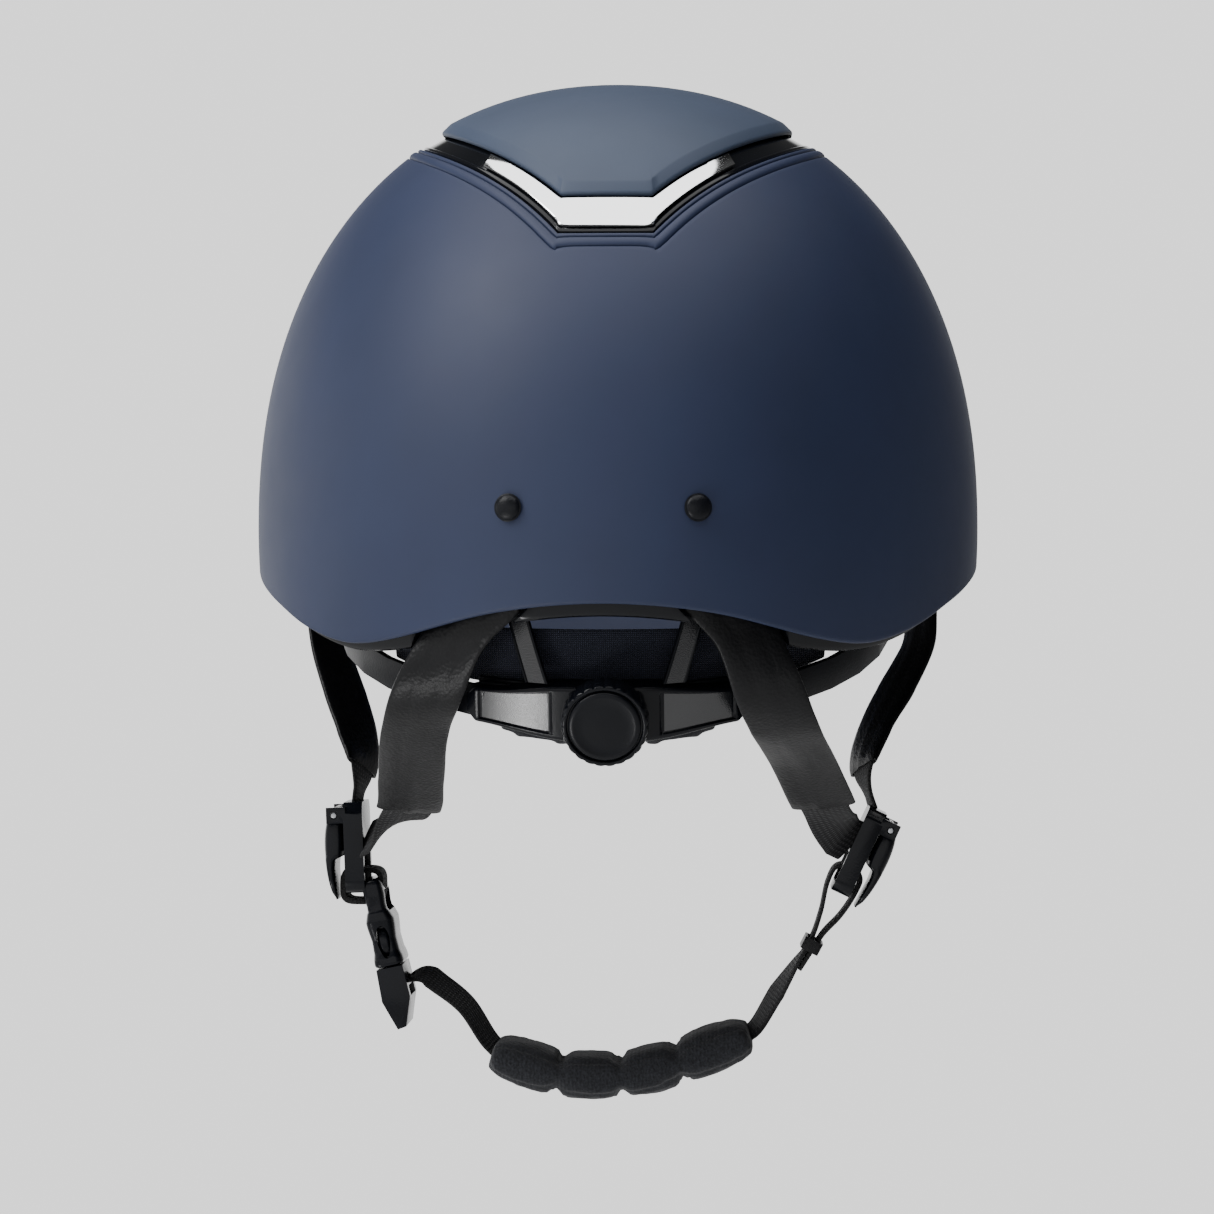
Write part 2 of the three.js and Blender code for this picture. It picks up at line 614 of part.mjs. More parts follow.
// The left adjusting arm: a rack above the pinion, a narrow run under the cover, then a wide band
// that ends in a slot round its temple pin. Half a turn about the dial makes it the right one,
// whose teeth are half a pitch along.
function arm(phase) {
  const pitch = Math.PI * PINION.module;
  const tooth = [[-0.34, RACK.root], [-0.12, RACK.tip], [0.12, RACK.tip], [0.34, RACK.root]];
  const teeth = spread(-6, 6, 12).flatMap((i) =>
    tooth.map(([share, height]) => [(i + phase + share) * pitch, height]));
  const band = [-RACK.end, 3 - RACK.end, -134, -120, -106, -90, -75, -60, -RACK.wideFrom - 4]
    .map((arc) => [arc, arc === -RACK.end ? -3 : -4.8]);
  const lower = [...band, [-RACK.wideFrom, RACK.root],
    ...teeth.filter(([arc]) => Math.abs(arc) < RACK.half), [RACK.half + 0.5, RACK.root]];
  const strip = loft(lower.map(([arc, height]) => {
    const top = arc < -RACK.wideFrom - 3 ? 4.8 : RACK.top;
    return [onArc(arc, height, 83.1), onArc(arc, top, 83.1), onArc(arc, top, 84.9), onArc(arc, height, 84.9)];
  }));
  const temple = -ARM.radius * 90 * DEG;
  return cut(strip, [arcStrip(spread(temple - 12, temple + 12, 4), () => [-2.6, 2.6], 80, 88)]);
}

const SCREW_ARC = 23;
const screwHole = (side) => alongDial(turned([[0, 78], [1.8, 78], [1.8, 86.8], [0, 86.8]], 12))
  .rotateZ((side * SCREW_ARC) / ARM.radius);

function cradleBack() {
  const height = (arc) => coverHeight(arc) - COVER.wall - GAP;
  const plate = arcStrip(spread(-40, 40, 12), (arc) => [-height(arc), height(arc)], 80.8, 82.2);
  return cut(plate, [-1, 1].map(screwHole));
}

// One of the two strips that hold the cradle up inside the shell's rear edge; its top leans in
// so that it clears the bezel when the cradle tilts.
function hanger(side) {
  const [low, high] = [{ arc: 19.5, height: 9, lean: 0 }, { arc: 26.6, height: 28, lean: 4.3 }];
  return loft([low, high].map(({ arc, height, lean }) =>
    [[-3.4, 85.9], [3.4, 85.9], [3.4, 87.3], [-3.4, 87.3]].map(([across, radius]) =>
      onArc(side * arc + across, height, radius - lean))));
}

// The stud at the temple that the arm's slot slides on, with the plate that holds it in the foam.
function templeBracket(side) {
  const plate = block(1.6, 14, 38).translate(side * 87.4, 0, 14);
  const pin = turned([[0, 0], [2.1, 0], [2.1, 4.6], [3.5, 4.6], [3.5, 5.6], [0, 5.6]], 16)
    .rotateY(-side * 90 * DEG).translate(side * 87, 0, 0);
  return join([plate, pin]).translate(0, HEAD.y, HEAD.z);
}

function addCradle() {
  add('cradle_cover', cradleCover(), PLASTIC, cradle);
  add('cradle_back', cradleBack(), PLASTIC, cradle);
  add('nape_pad', arcPad(spread(-38, 38, 10), () => [-15, 9], 74.6, 80), LINING, cradle);
  const slingBounds = (arc) =>
    [9.6 - 6 * THREE.MathUtils.smoothstep(Math.abs(arc), 42, 66), 22 - 9 * (arc / 75) ** 2];
  const sling = arcStrip(spread(-74, 74, 18), slingBounds, 78.4, 79.8);
  add('nape_sling', sling, MESH_CLOTH, cradle);
  for (const [name, side] of [['left', -1], ['right', 1]]) {
    add(`hanger_${name}`, hanger(side), PLASTIC, cradle);
    const screw = turned([[0, 80.1], [2.4, 80.1], [2.4, 80.65], [1.4, 80.65], [1.4, 86.5], [0, 86.5]], 12);
    add(`cradle_screw_${name}`, alongDial(screw).rotateZ((side * SCREW_ARC) / ARM.radius), STEEL, cradle);
    add(`temple_bracket_${name}`, templeBracket(side), PLASTIC);
  }
  add('arm_left', arm(0.5), PLASTIC, cradle);
  add('arm_right', arm(0).rotateY(180 * DEG), PLASTIC, cradle);
  add('dial_knob', dialKnob(), PLASTIC, cradle);
  add('dial_cap', dialCap(), PLASTIC, cradle);
  add('dial_pinion', pinion(), PLASTIC, cradle);
}

// ---------------------------------------------------------------- strap dividers
// Each divider's origin is the middle of its lower bar, and it leans outwards from there.
const DIVIDER = { half: 13.5, thick: 6, bottom: -2, top: 26.5 };
const DIVIDER_SLOT = { half: 10.5, low: 0.7, high: 11 };
const FLAP = {
  half: 11.2, low: 8, axisX: 5.9, axisZ: 22.6, bore: 1.15, face: 3.5, bulge: 9.4, knuckle: 2.2,
};
const SIDES = [{ name: 'left', side: -1, x: -82, lean: -2 }, { name: 'right', side: 1, x: 70.5, lean: 25 }];

function dividerBase(side) {
  const { half, bottom, top } = DIVIDER;
  const outline = roundedRectangle(2 * half, top - bottom, 4);
  const middle = (top + bottom) / 2;
  const slot = new THREE.Path();
  const [w, low, high] = [DIVIDER_SLOT.half, DIVIDER_SLOT.low - middle, DIVIDER_SLOT.high - middle];
  slot.setFromPoints([p2(-w, low), p2(w, low), p2(w, high), p2(-w, high)]);
  outline.holes.push(slot);
  const frame = extrude(outline, DIVIDER.thick, 4)
    .rotateX(90 * DEG).rotateZ(90 * DEG).translate(0, 0, middle);
  const ears = [-1, 1].map((end) =>
    block(6, 1.8, 5).translate(side * (FLAP.axisX - 0.6), end * (half - 0.95), FLAP.axisZ));
  const bore = extrude(new THREE.Shape().absarc(0, 0, FLAP.bore, 0, 360 * DEG), 40, 10)
    .rotateX(90 * DEG).translate(side * FLAP.axisX, 0, FLAP.axisZ);
  return cut(join([frame, ...ears]), [bore]);
}

// The cam flap hangs from its pin against the divider's outer face.
function dividerFlap(side) {
  const { low, axisX, axisZ, face, bulge, knuckle } = FLAP;
  const shape = new THREE.Shape();
  shape.moveTo(side * face, low);
  shape.lineTo(side * (axisX - knuckle), axisZ);
  shape.absarc(side * axisX, axisZ, knuckle, side < 0 ? 0 : 180 * DEG, side < 0 ? 180 * DEG : 0, side > 0);
  shape.quadraticCurveTo(side * bulge, (low + axisZ) / 2, side * (face + 1), low);
  const bore = new THREE.Path();
  bore.absarc(side * axisX, axisZ, FLAP.bore, 0, 360 * DEG);
  shape.holes.push(bore);
  return extrude(shape, 2 * FLAP.half, 5).rotateX(90 * DEG);
}

function addDividers() {
  for (const { name, side, x, lean } of SIDES) {
    const group = new THREE.Group();
    group.position.set(x, HARNESS.y, HARNESS.pivotZ);
    group.rotation.y = lean * DEG;
    helmet.add(group);
    add(`divider_base_${name}`, dividerBase(side), PLASTIC, group);
    add(`divider_flap_${name}`, dividerFlap(side), PLASTIC, group);
    const end = new THREE.Shape().absarc(0, 0, FLAP.bore - 0.3, 0, 360 * DEG);
    const pin = extrude(end, 2 * DIVIDER.half - 0.4, 8)
      .rotateX(90 * DEG).translate(side * FLAP.axisX, 0, FLAP.axisZ);
    add(`flap_pin_${name}`, pin, STEEL, group);
  }
}

// ---------------------------------------------------------------- side-release buckle
// The buckle's origin is its upper bar; it hangs along its own -Z, leaning towards the chin.
const BUCKLE = { x: -77, lean: 12.7, half: 12.5, bar: 1.3, bodyTop: -8.6, mouth: -25.4, thick: 4.6 };
const CAVITY = { half: 10.9, thick: 2.9, top: -10.6 };
const LATCH = { inner: 7.4, outer: 9.6, barb: 10.55, low: -25.2, high: -13, thick: 2.3 };

const buckle = new THREE.Group();
buckle.position.set(BUCKLE.x, HARNESS.y, HARNESS.pivotZ);
buckle.rotation.y = -BUCKLE.lean * DEG;
helmet.add(buckle);

function outlineXZ(points, width) {
  const shape = new THREE.Shape(points.map(([x, z]) => p2(x, z)));
  return extrude(shape, width).rotateX(90 * DEG);
}

function buckleFemale() {
  const { half, bar, bodyTop, mouth, thick } = BUCKLE;
  const waist = (bodyTop + mouth) / 2;
  const casing = outlineXZ([[-bar, 1.7], [bar, 1.7], [bar + 0.6, bodyTop + 3], [thick, bodyTop - 2],
    [thick - 0.6, waist], [thick, mouth + 3], [thick - 0.5, mouth], [0.5 - thick, mouth], [-thick, mouth + 3],
    [0.6 - thick, waist], [-thick, bodyTop - 2], [-bar - 0.6, bodyTop + 3]], 2 * half);
  const eye = block(12, 16.2, 6.7).translate(0, 0, -5.2);
  const cavity = block(2 * CAVITY.thick, 2 * CAVITY.half, 30).translate(0, 0, CAVITY.top - 15);
  const windows = block(4.8, 30, 8.4).translate(0, 0, -17.8);
  return cut(casing, [eye, cavity, windows]);
}

function buckleMale() {
  const top = BUCKLE.mouth - 0.5;
  const grip = outlineXZ([[-4.2, top], [4.2, top], [4.4, -36], [1.2, -45], [-1.6, -45.4], [-4.6, -36]],
    2 * BUCKLE.half);
  const slot = block(14, 16.4, 3.2).translate(0, 0, -34.5);
  const guide = block(3, 4, 16).translate(0, 0, top + 6.5);
  return join([cut(grip, [slot]), guide]);
}

// A springy prong beside the guide, with the thumb pad that shows in the casing's window.
function latch(side) {
  const { inner, outer, barb, low, high } = LATCH;
  const outline = [[inner, low], [outer, low], [outer, -22], [barb, -21], [barb, -15.5],
    [outer, high], [inner, high]];
  const shape = new THREE.Shape(outline.map(([x, y]) => p2(side * x, y)));
  return extrude(shape, 2 * LATCH.thick).rotateX(90 * DEG).rotateZ(90 * DEG);
}

// The webbing ring that ties the buckle's upper bar to the left divider's lower bar.
function buckleLink() {
  const [left, right, low, high] = [-85.9, -74.9, -107.2, -97.8];
  const wall = 1.3;
  const shape = roundedRectangle(right - left + 2 * wall, high - low + 2 * wall, 2.2);
  shape.holes.push(new THREE.Path(roundedRectangle(right - left, high - low, 1).getPoints(4)));
  return extrude(shape, WEBBING.width, 4).rotateX(90 * DEG)
    .translate((left + right) / 2, HARNESS.y, (low + high) / 2);
}

// ---------------------------------------------------------------- chin strap
const CHIN_LINE = [[-39.3, -154.6], [-18.4, -161.6], [1.1, -162.2], [19.4, -157.8], [41.5, -148.9]];
const LEFT_STRAP = [[-65.4, -130.2], [-61, -130.6], [-56, -134], [-48, -140.5], [-41, -151]];
const RIGHT_STRAP = [[43.4, -146.9], [49.4, -137], [55.5, -127.5], [60.6, -119.5], [63.8, -110.5],
  [66, -101], [68.5, -96.4], [71.8, -95.7], [74.9, -97.1], [76.3, -100], [74.5, -104.7], [70, -111.5],
  [64.8, -117], [62.4, -120.4], [57.1, -128.6]];

function chinPad() {
  const line = new THREE.CatmullRomCurve3(CHIN_LINE.map(([x, z]) => v(x, HARNESS.y, z)));
  return loft(spread(0, 1, 18).map((t) => {
    const [at, run] = [line.getPoint(t), line.getTangent(t)];
    const out = v(-run.z, 0, run.x);
    const end = Math.min(1, 0.55 + 6 * Math.min(t, 1 - t));
    const puff = 5.8 + 1.2 * Math.abs(Math.sin(4 * Math.PI * t));
    return spread(0, 330, 11).map((turn) => {
      const [c, s] = [Math.cos(turn * DEG), Math.sin(turn * DEG)];
      const square = (value, power) => Math.sign(value) * Math.abs(value) ** power;
      return at.clone().add(v(0, 18 * (0.75 + 0.25 * end) * square(c, 0.45), 0))
        .addScaledVector(out, puff * end * square(s, 0.8));
    });
  }));
}

function strapKeeper() {
  const ring = roundedRectangle(17.8, 6, 1.2);
  ring.holes.push(new THREE.Path(roundedRectangle(16, 4.6, 0.6).getPoints(4)));
  return extrude(ring, 4, 4).rotateZ(90 * DEG).rotateY(28 * DEG).translate(60.9, HARNESS.y, -120.9);
}

function addHarness() {
  addDividers();
  add('buckle_link', buckleLink(), WEB);
  add('buckle_female', buckleFemale(), PLASTIC, buckle);
  add('buckle_male', buckleMale(), PLASTIC, buckle);
  add('latch_front', latch(1), PLASTIC, buckle);
  add('latch_rear', latch(-1), PLASTIC, buckle);
  add('chin_strap_left', bentStrip(LEFT_STRAP, WEBBING.thick, WEBBING.width, 12), WEB);
  add('chin_pad', chinPad(), LINING);
  add('chin_strap_right', bentStrip(RIGHT_STRAP, WEBBING.thick, WEBBING.width, 56), WEB);
  add('strap_keeper', strapKeeper(), LEATHER);
}

addShell();
addStraps();
addCradle();
addHarness();
helmet.updateMatrixWorld(true);
export default helmet;
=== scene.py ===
"""Looks of the riding helmet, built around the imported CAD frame. Lengths here are in millimetres
in the CAD's own frame; add_mesh() turns them into metres."""
import math

import bpy
import bmesh
import numpy as np
from mathutils import Euler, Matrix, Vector, noise


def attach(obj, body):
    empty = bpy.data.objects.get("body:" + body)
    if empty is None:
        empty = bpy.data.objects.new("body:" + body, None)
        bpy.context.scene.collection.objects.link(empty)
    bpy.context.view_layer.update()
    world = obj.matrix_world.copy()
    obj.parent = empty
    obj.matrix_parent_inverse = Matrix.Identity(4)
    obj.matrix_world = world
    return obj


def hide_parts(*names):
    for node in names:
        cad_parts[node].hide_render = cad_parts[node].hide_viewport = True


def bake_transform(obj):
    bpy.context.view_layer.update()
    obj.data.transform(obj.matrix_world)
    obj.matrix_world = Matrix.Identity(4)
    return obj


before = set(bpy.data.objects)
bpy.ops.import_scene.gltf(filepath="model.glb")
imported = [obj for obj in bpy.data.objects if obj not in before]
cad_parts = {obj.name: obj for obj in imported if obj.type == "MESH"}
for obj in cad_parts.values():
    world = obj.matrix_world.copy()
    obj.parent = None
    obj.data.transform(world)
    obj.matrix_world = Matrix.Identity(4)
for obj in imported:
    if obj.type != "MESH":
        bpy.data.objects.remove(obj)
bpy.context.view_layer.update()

MM = 0.001

# Driving dimensions, the same as the CAD's.
HALF_WIDTH, REAR, FRONT, EQUATOR, HEIGHT, WALL = 113, 133, 128, 10, 136.8, 2.4
SQUARENESS, TUCK, TUCK_DEPTH, SKIRT = 2.2, 0.03, 38, 100
RIM = [(0, -14), (16, -16.5), (34, -24), (44, -25.5), (54, -21.5), (66, -13.5),
       (84, -4), (98, 0), (120, 4), (150, 8), (180, 9)]
PLATEAU_Y = -5
CHANNEL = dict(end=14, side=47.5, reach=104, power=2.3)
PANEL = dict(end=13.2, side=41.5, reach=95, power=2.3)
RECESS = 2.6
REAR_RIVET, FRONT_RIVET = (13.8, 13.5), (115, 24)
HEAD_Y, HEAD_Z, HEAD_TILT = -27, -16.3, math.radians(20)
ARM_RADIUS = 84
HARNESS_Y, HARNESS_Z = -2, -102.5
WEB_WIDTH, WEB_THICK = 15, 1.2
SIDES = ((-1, "left"), (1, "right"))
CORNERS = ((-1, -1), (1, -1), (1, 1), (-1, 1))


# ---------------------------------------------------------------- camera, light and floor
AIM = (-3.6, 0, -14.8)
LENS, DISTANCE, CAMERA_TURN = 122, 1300, math.radians(2.1)
FLOOR_HALF, FLOOR_HEIGHT = 2600, -600
WALL_GLOW, CEILING_GLOW, RIGHT_WALL = 1.5, 0.06, 0.15
# Name, place in metres, size in metres and power in watts.
SOFTBOXES = [
    ("key", (-1.2, -0.7, 1.15), 0.9, 23),
    ("top", (-0.1, -0.3, 1.5), 2.2, 44),
    ("low", (-0.45, -0.56, -0.55), 0.22, 2.6),
]


def aimed_camera():
    """The camera stands behind the helmet, a little to its right, level with its rim."""
    target = Vector(AIM) * MM
    data = bpy.data.cameras.new("camera")
    data.lens = LENS
    data.sensor_width = 36
    data.clip_end = 20
    camera = bpy.data.objects.new("camera", data)
    bpy.context.scene.collection.objects.link(camera)
    away = Vector((math.sin(CAMERA_TURN), -math.cos(CAMERA_TURN), 0))
    camera.location = target + away * DISTANCE * MM
    camera.rotation_euler = (target - camera.location).to_track_quat("-Z", "Y").to_euler()
    bpy.context.scene.camera = camera


def plain_floor():
    pale = material("stage_pale", (0.93, 0.93, 0.93), 0.9)
    corners = [(x * FLOOR_HALF, y * FLOOR_HALF, FLOOR_HEIGHT) for x, y in CORNERS]
    add_mesh("floor", corners, [(0, 1, 2, 3)], pale)


def studio_walls():
    """White walls at eye level, dimmer on the right, and a darker ceiling."""
    world = bpy.data.worlds.new("studio")
    bpy.context.scene.world = world
    world.use_nodes = True
    nodes, links = world.node_tree.nodes, world.node_tree.links
    nodes["Background"].inputs["Color"].default_value = (1, 1, 1, 1)

    def fade(source, start, end, near, far):
        made = nodes.new("ShaderNodeMapRange")
        made.interpolation_type = "SMOOTHSTEP"
        limits = (("From Min", start), ("From Max", end), ("To Min", near), ("To Max", far))
        for socket, value in limits:
            made.inputs[socket].default_value = value
        links.new(source, made.inputs["Value"])
        return made.outputs[0]

    place = nodes.new("ShaderNodeTexCoord")
    split = nodes.new("ShaderNodeSeparateXYZ")
    height = nodes.new("ShaderNodeMath")
    height.operation = "ABSOLUTE"
    links.new(place.outputs["Generated"], split.inputs[0])
    links.new(split.outputs["Z"], height.inputs[0])
    both = nodes.new("ShaderNodeMath")
    both.operation = "MULTIPLY"
    links.new(fade(height.outputs[0], 0.2, 0.34, WALL_GLOW, CEILING_GLOW), both.inputs[0])
    links.new(fade(split.outputs["X"], 0.15, 0.5, 1.0, RIGHT_WALL), both.inputs[1])
    links.new(both.outputs[0], nodes["Background"].inputs["Strength"])


def softbox(name, place, size, power):
    """A square lamp that faces the middle of the scene."""
    light = bpy.data.lights.new(name, "AREA")
    light.size = size
    light.energy = power
    lamp = bpy.data.objects.new(name, light)
    lamp.location = place
    lamp.rotation_euler = (-Vector(place)).to_track_quat("-Z", "Y").to_euler()
    bpy.context.scene.collection.objects.link(lamp)


# ---------------------------------------------------------------- meshes
# Points closer together than this, in metres, become one.
SAME_POINT = 1e-6


def add_mesh(name, points, faces, finish, uv=None):
    """A smooth-shaded object from points in millimetres."""
    mesh = bpy.data.meshes.new(name)
    mesh.from_pydata([tuple(MM * float(c) for c in p) for p in points], [], faces)
    if uv is not None:
        layer = mesh.uv_layers.new(name="UVMap")
        for loop in mesh.loops:
            layer.data[loop.index].uv = uv[loop.vertex_index]
    piece = bpy.data.objects.new(name, mesh)
    bpy.context.scene.collection.objects.link(piece)
    mesh.materials.append(finish)
    for polygon in mesh.polygons:
        polygon.use_smooth = True
    tidy(mesh)
    return piece


def tidy(mesh):
    """Merges points that coincide and turns every face outwards."""
    shape = bmesh.new()
    shape.from_mesh(mesh)
    bmesh.ops.remove_doubles(shape, verts=shape.verts, dist=SAME_POINT)
    bmesh.ops.recalc_face_normals(shape, faces=shape.faces)
    shape.to_mesh(mesh)
    shape.free()


def loft(name, rings, finish, loop=False, uv_size=None):
    """A skin over rings of points (rings, points, 3), capped unless the rings join end to start."""
    rings = np.asarray(rings, float)
    count, width = rings.shape[:2]
    faces = []
    for i in range(count if loop else count - 1):
        near, far = i * width, ((i + 1) % count) * width
        for j in range(width):
            k = (j + 1) % width
            faces.append((near + j, near + k, far + k, far + j))
    if not loop:
        faces.append(tuple(range(width)))
        faces.append(tuple((count - 1) * width + j for j in reversed(range(width))))
    uv = None
    if uv_size:
        step = np.linalg.norm(np.diff(rings.mean(axis=1), axis=0), axis=1)
        along = np.concatenate([[0], np.cumsum(step)])
        uv = [(uv_size * j / width, along[i]) for i in range(count) for j in range(width)]
    return add_mesh(name, rings.reshape(-1, 3), faces, finish, uv)


def crease(piece, angle):
    """Smooth shading that breaks at edges sharper than angle degrees."""
    bpy.context.view_layer.objects.active = piece
    for other in bpy.context.selected_objects:
        other.select_set(False)
    piece.select_set(True)
    bpy.ops.object.shade_smooth_by_angle(angle=math.radians(angle))
    return piece


def apply_modifiers(piece):
    """Swaps the piece's mesh for the one its modifiers make."""
    graph = bpy.context.evaluated_depsgraph_get()
    mesh = bpy.data.meshes.new_from_object(piece.evaluated_get(graph))
    old = piece.data
    piece.modifiers.clear()
    piece.data = mesh
    bpy.data.meshes.remove(old)


def bevelled(node, body, finish, width, segments=3):
    """A CAD piece with its edges rounded."""
    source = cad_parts[node]
    piece = bpy.data.objects.new(f"{node}_fine", source.data.copy())
    bpy.context.scene.collection.objects.link(piece)
    piece.data.materials.clear()
    piece.data.materials.append(finish)
    shape = bmesh.new()
    shape.from_mesh(piece.data)
    bmesh.ops.remove_doubles(shape, verts=shape.verts, dist=SAME_POINT)
    flat = math.radians(2)
    bmesh.ops.dissolve_limit(shape, angle_limit=flat, verts=shape.verts, edges=shape.edges)
    shape.to_mesh(piece.data)
    shape.free()
    bevel = piece.modifiers.new("edges", "BEVEL")
    bevel.width = width * MM
    bevel.segments = segments
    bevel.limit_method = "ANGLE"
    bevel.angle_limit = math.radians(32)
    apply_modifiers(piece)
    return settle(crease(piece, 30), body, node)


def cut_away(piece, *cutters):
    """Takes each cutter out of the piece."""
    for cutter in cutters:
        boolean = piece.modifiers.new("cut", "BOOLEAN")
        boolean.object = cutter
        boolean.operation = "DIFFERENCE"
        boolean.solver = "EXACT"
        apply_modifiers(piece)
        bpy.data.objects.remove(cutter)


def settle(piece, body, node):
    """Rides the piece on its body and hides the CAD node that it stands for."""
    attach(piece, body)
    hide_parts(node)
    return piece


def shifted(piece, place):
    """Moves every point of the piece by a place in millimetres."""
    for vertex in piece.data.vertices:
        vertex.co += Vector(place) * MM
    return piece


# ---------------------------------------------------------------- materials
class Shader:
    """A principled material with small helpers for its texture nodes."""

    def __init__(self, name, color, roughness, metallic=0.0, specular=0.5, sheen=0.0):
        self.material = bpy.data.materials.new(name)
        self.material.use_nodes = True
        self.nodes = self.material.node_tree.nodes
        self.links = self.material.node_tree.links
        self.main = self.nodes["Principled BSDF"]
        self.set("Base Color", (*color, 1))
        self.set("Roughness", roughness)
        self.set("Metallic", metallic)
        self.set("Specular IOR Level", specular)
        self.set("Sheen Weight", sheen)
        self.color = color

    def set(self, socket, value):
        self.main.inputs[socket].default_value = value

    def node(self, kind, **values):
        made = self.nodes.new(kind)
        for key, value in values.items():
            if key in made.inputs:
                made.inputs[key].default_value = value
            else:
                setattr(made, key, value)
        return made

    def place(self, uv=False):
        return self.node("ShaderNodeTexCoord").outputs["UV" if uv else "Object"]

    def texture(self, kind, output, uv=False, **values):
        made = self.node(kind, **values)
        self.links.new(self.place(uv), made.inputs["Vector"])
        return made.outputs[output]

    def noise(self, scale, detail=3.0):
        return self.texture("ShaderNodeTexNoise", "Fac", Scale=scale, Detail=detail)

    def cells(self, scale):
        return self.texture("ShaderNodeTexVoronoi", "Distance", Scale=scale)

    def waves(self, scale, direction, uv=False, distortion=0.0):
        return self.texture("ShaderNodeTexWave", "Fac", uv, Scale=scale, Distortion=distortion,
                            bands_direction=direction)

    def math(self, operation, a, b):
        made = self.node("ShaderNodeMath", operation=operation)
        for socket, value in zip(made.inputs, (a, b)):
            if isinstance(value, (int, float)):
                socket.default_value = value
            else:
                self.links.new(value, socket)
        return made.outputs[0]

    def vary(self, fac, darker, lighter):
        """Base colour between two multiples of the plain one."""
        ramp = self.node("ShaderNodeValToRGB")
        for element, factor in zip(ramp.color_ramp.elements, (darker, lighter)):
            element.color = (*(min(1, c * factor) for c in self.color), 1)
        ramp.color_ramp.elements[0].position = 0.3
        ramp.color_ramp.elements[1].position = 0.7
        self.links.new(fac, ramp.inputs[0])
        self.links.new(ramp.outputs[0], self.main.inputs["Base Color"])

    def roughen(self, fac, low, high):
        spread = self.node("ShaderNodeMapRange")
        spread.inputs["To Min"].default_value = low
        spread.inputs["To Max"].default_value = high
        self.links.new(fac, spread.inputs["Value"])
        self.links.new(spread.outputs[0], self.main.inputs["Roughness"])

    def bump(self, height, distance, strength=1.0):
        made = self.node("ShaderNodeBump", Strength=strength, Distance=distance * MM)
        self.links.new(height, made.inputs["Height"])
        self.links.new(made.outputs[0], self.main.inputs["Normal"])


def material(name, color, roughness):
    return Shader(name, color, roughness).material


def soft_touch(name, color):
    """Matt soft-touch paint: faint mottling and a very fine orange peel."""
    s = Shader(name, color, 0.56, specular=0.36)
    s.vary(s.noise(28, 4), 0.94, 1.06)
    s.roughen(s.noise(60, 2), 0.52, 0.6)
    s.bump(s.noise(2600, 2), 0.02, 0.5)
    return s.material


def gloss_black():
    """Polished black trim with faint ripples."""
    s = Shader("gloss_black", (0.004, 0.0045, 0.006), 0.07, specular=0.22)
    s.vary(s.noise(40, 3), 0.9, 1.1)
    s.roughen(s.noise(90, 3), 0.05, 0.12)
    s.bump(s.noise(260, 2), 0.01, 0.25)
    return s.material


def chrome():
    """Bright plating with a slight haze."""
    s = Shader("chrome", (0.88, 0.89, 0.9), 0.08, 1.0)
    s.roughen(s.noise(120, 3), 0.05, 0.11)
    s.bump(s.noise(300, 2), 0.01, 0.2)
    return s.material


def bead_foam():
    """Expanded foam: the outlines of its beads show."""
    s = Shader("bead_foam", (0.02, 0.021, 0.023), 0.8)
    cells = s.cells(330)
    s.vary(cells, 0.6, 1.25)
    s.bump(cells, 0.25, 0.6)
    return s.material


def lining():
    """Brushed knit lining: a fine diagonal knit with a soft nap."""
    s = Shader("lining", (0.009, 0.0095, 0.0115), 0.9, specular=0.2, sheen=0.1)
    knit = s.math("MULTIPLY", s.waves(230, "DIAGONAL", distortion=1.5), s.waves(260, "X", distortion=1.0))
    nap = s.noise(1500, 4)
    s.vary(nap, 0.5, 2.2)
    s.set("Sheen Roughness", 0.5)
    s.bump(s.math("ADD", knit, nap), 0.18, 0.7)
    return s.material


def mesh_cloth():
    """Dark blue spacer mesh with small holes in rows."""
    s = Shader("mesh_cloth", (0.011, 0.014, 0.028), 0.85, specular=0.2, sheen=0.08)
    holes = s.math("MULTIPLY", s.waves(520, "X"), s.waves(520, "Z"))
    s.vary(holes, 0.4, 1.5)
    s.bump(holes, 0.35, 0.9)
    return s.material


def leather():
    """Smooth grained leather: pebbles of two sizes under a soft polish."""
    s = Shader("grained_leather", (0.0034, 0.0035, 0.0042), 0.38, specular=0.2)
    grain = s.math("ADD", s.cells(900), s.math("MULTIPLY", s.noise(2000, 4), 0.5))
    s.vary(s.noise(55, 4), 0.8, 1.25)
    s.roughen(s.noise(200, 3), 0.34, 0.45)
    s.bump(grain, 0.12, 0.8)
    return s.material


def webbing():
    """Woven webbing: ribs across its length and fine yarns along it, laid out by its UVs in mm."""
    s = Shader("webbing", (0.011, 0.011, 0.0125), 0.75, specular=0.25, sheen=0.06)
    weave = s.math("MULTIPLY", s.waves(0.24, "Y", uv=True), s.waves(0.45, "X", uv=True))
    s.vary(weave, 0.55, 1.5)
    s.bump(weave, 0.3, 0.9)
    return s.material


def moulded(name="moulded_plastic", roughness=0.34, grain=0.05):
    """Satin moulded nylon with a spark-eroded texture and lightly rubbed patches."""
    s = Shader(name, (0.0028, 0.0033, 0.005), roughness, specular=0.17)
    s.vary(s.noise(45, 3), 0.85, 1.2)
    s.roughen(s.noise(75, 4), roughness - 0.07, roughness + 0.1)
    s.bump(s.math("ADD", s.cells(1500), s.noise(2200, 3)), grain, 0.6)
    return s.material


def dimpled():
    """The grip texture on the cradle's wings and hangers: small raised dots."""
    s = Shader("dimpled_plastic", (0.007, 0.0075, 0.009), 0.22, specular=0.8)
    dots = s.cells(2600)
    s.vary(dots, 0.8, 1.4)
    s.bump(dots, 0.04, 0.8)
    return s.material


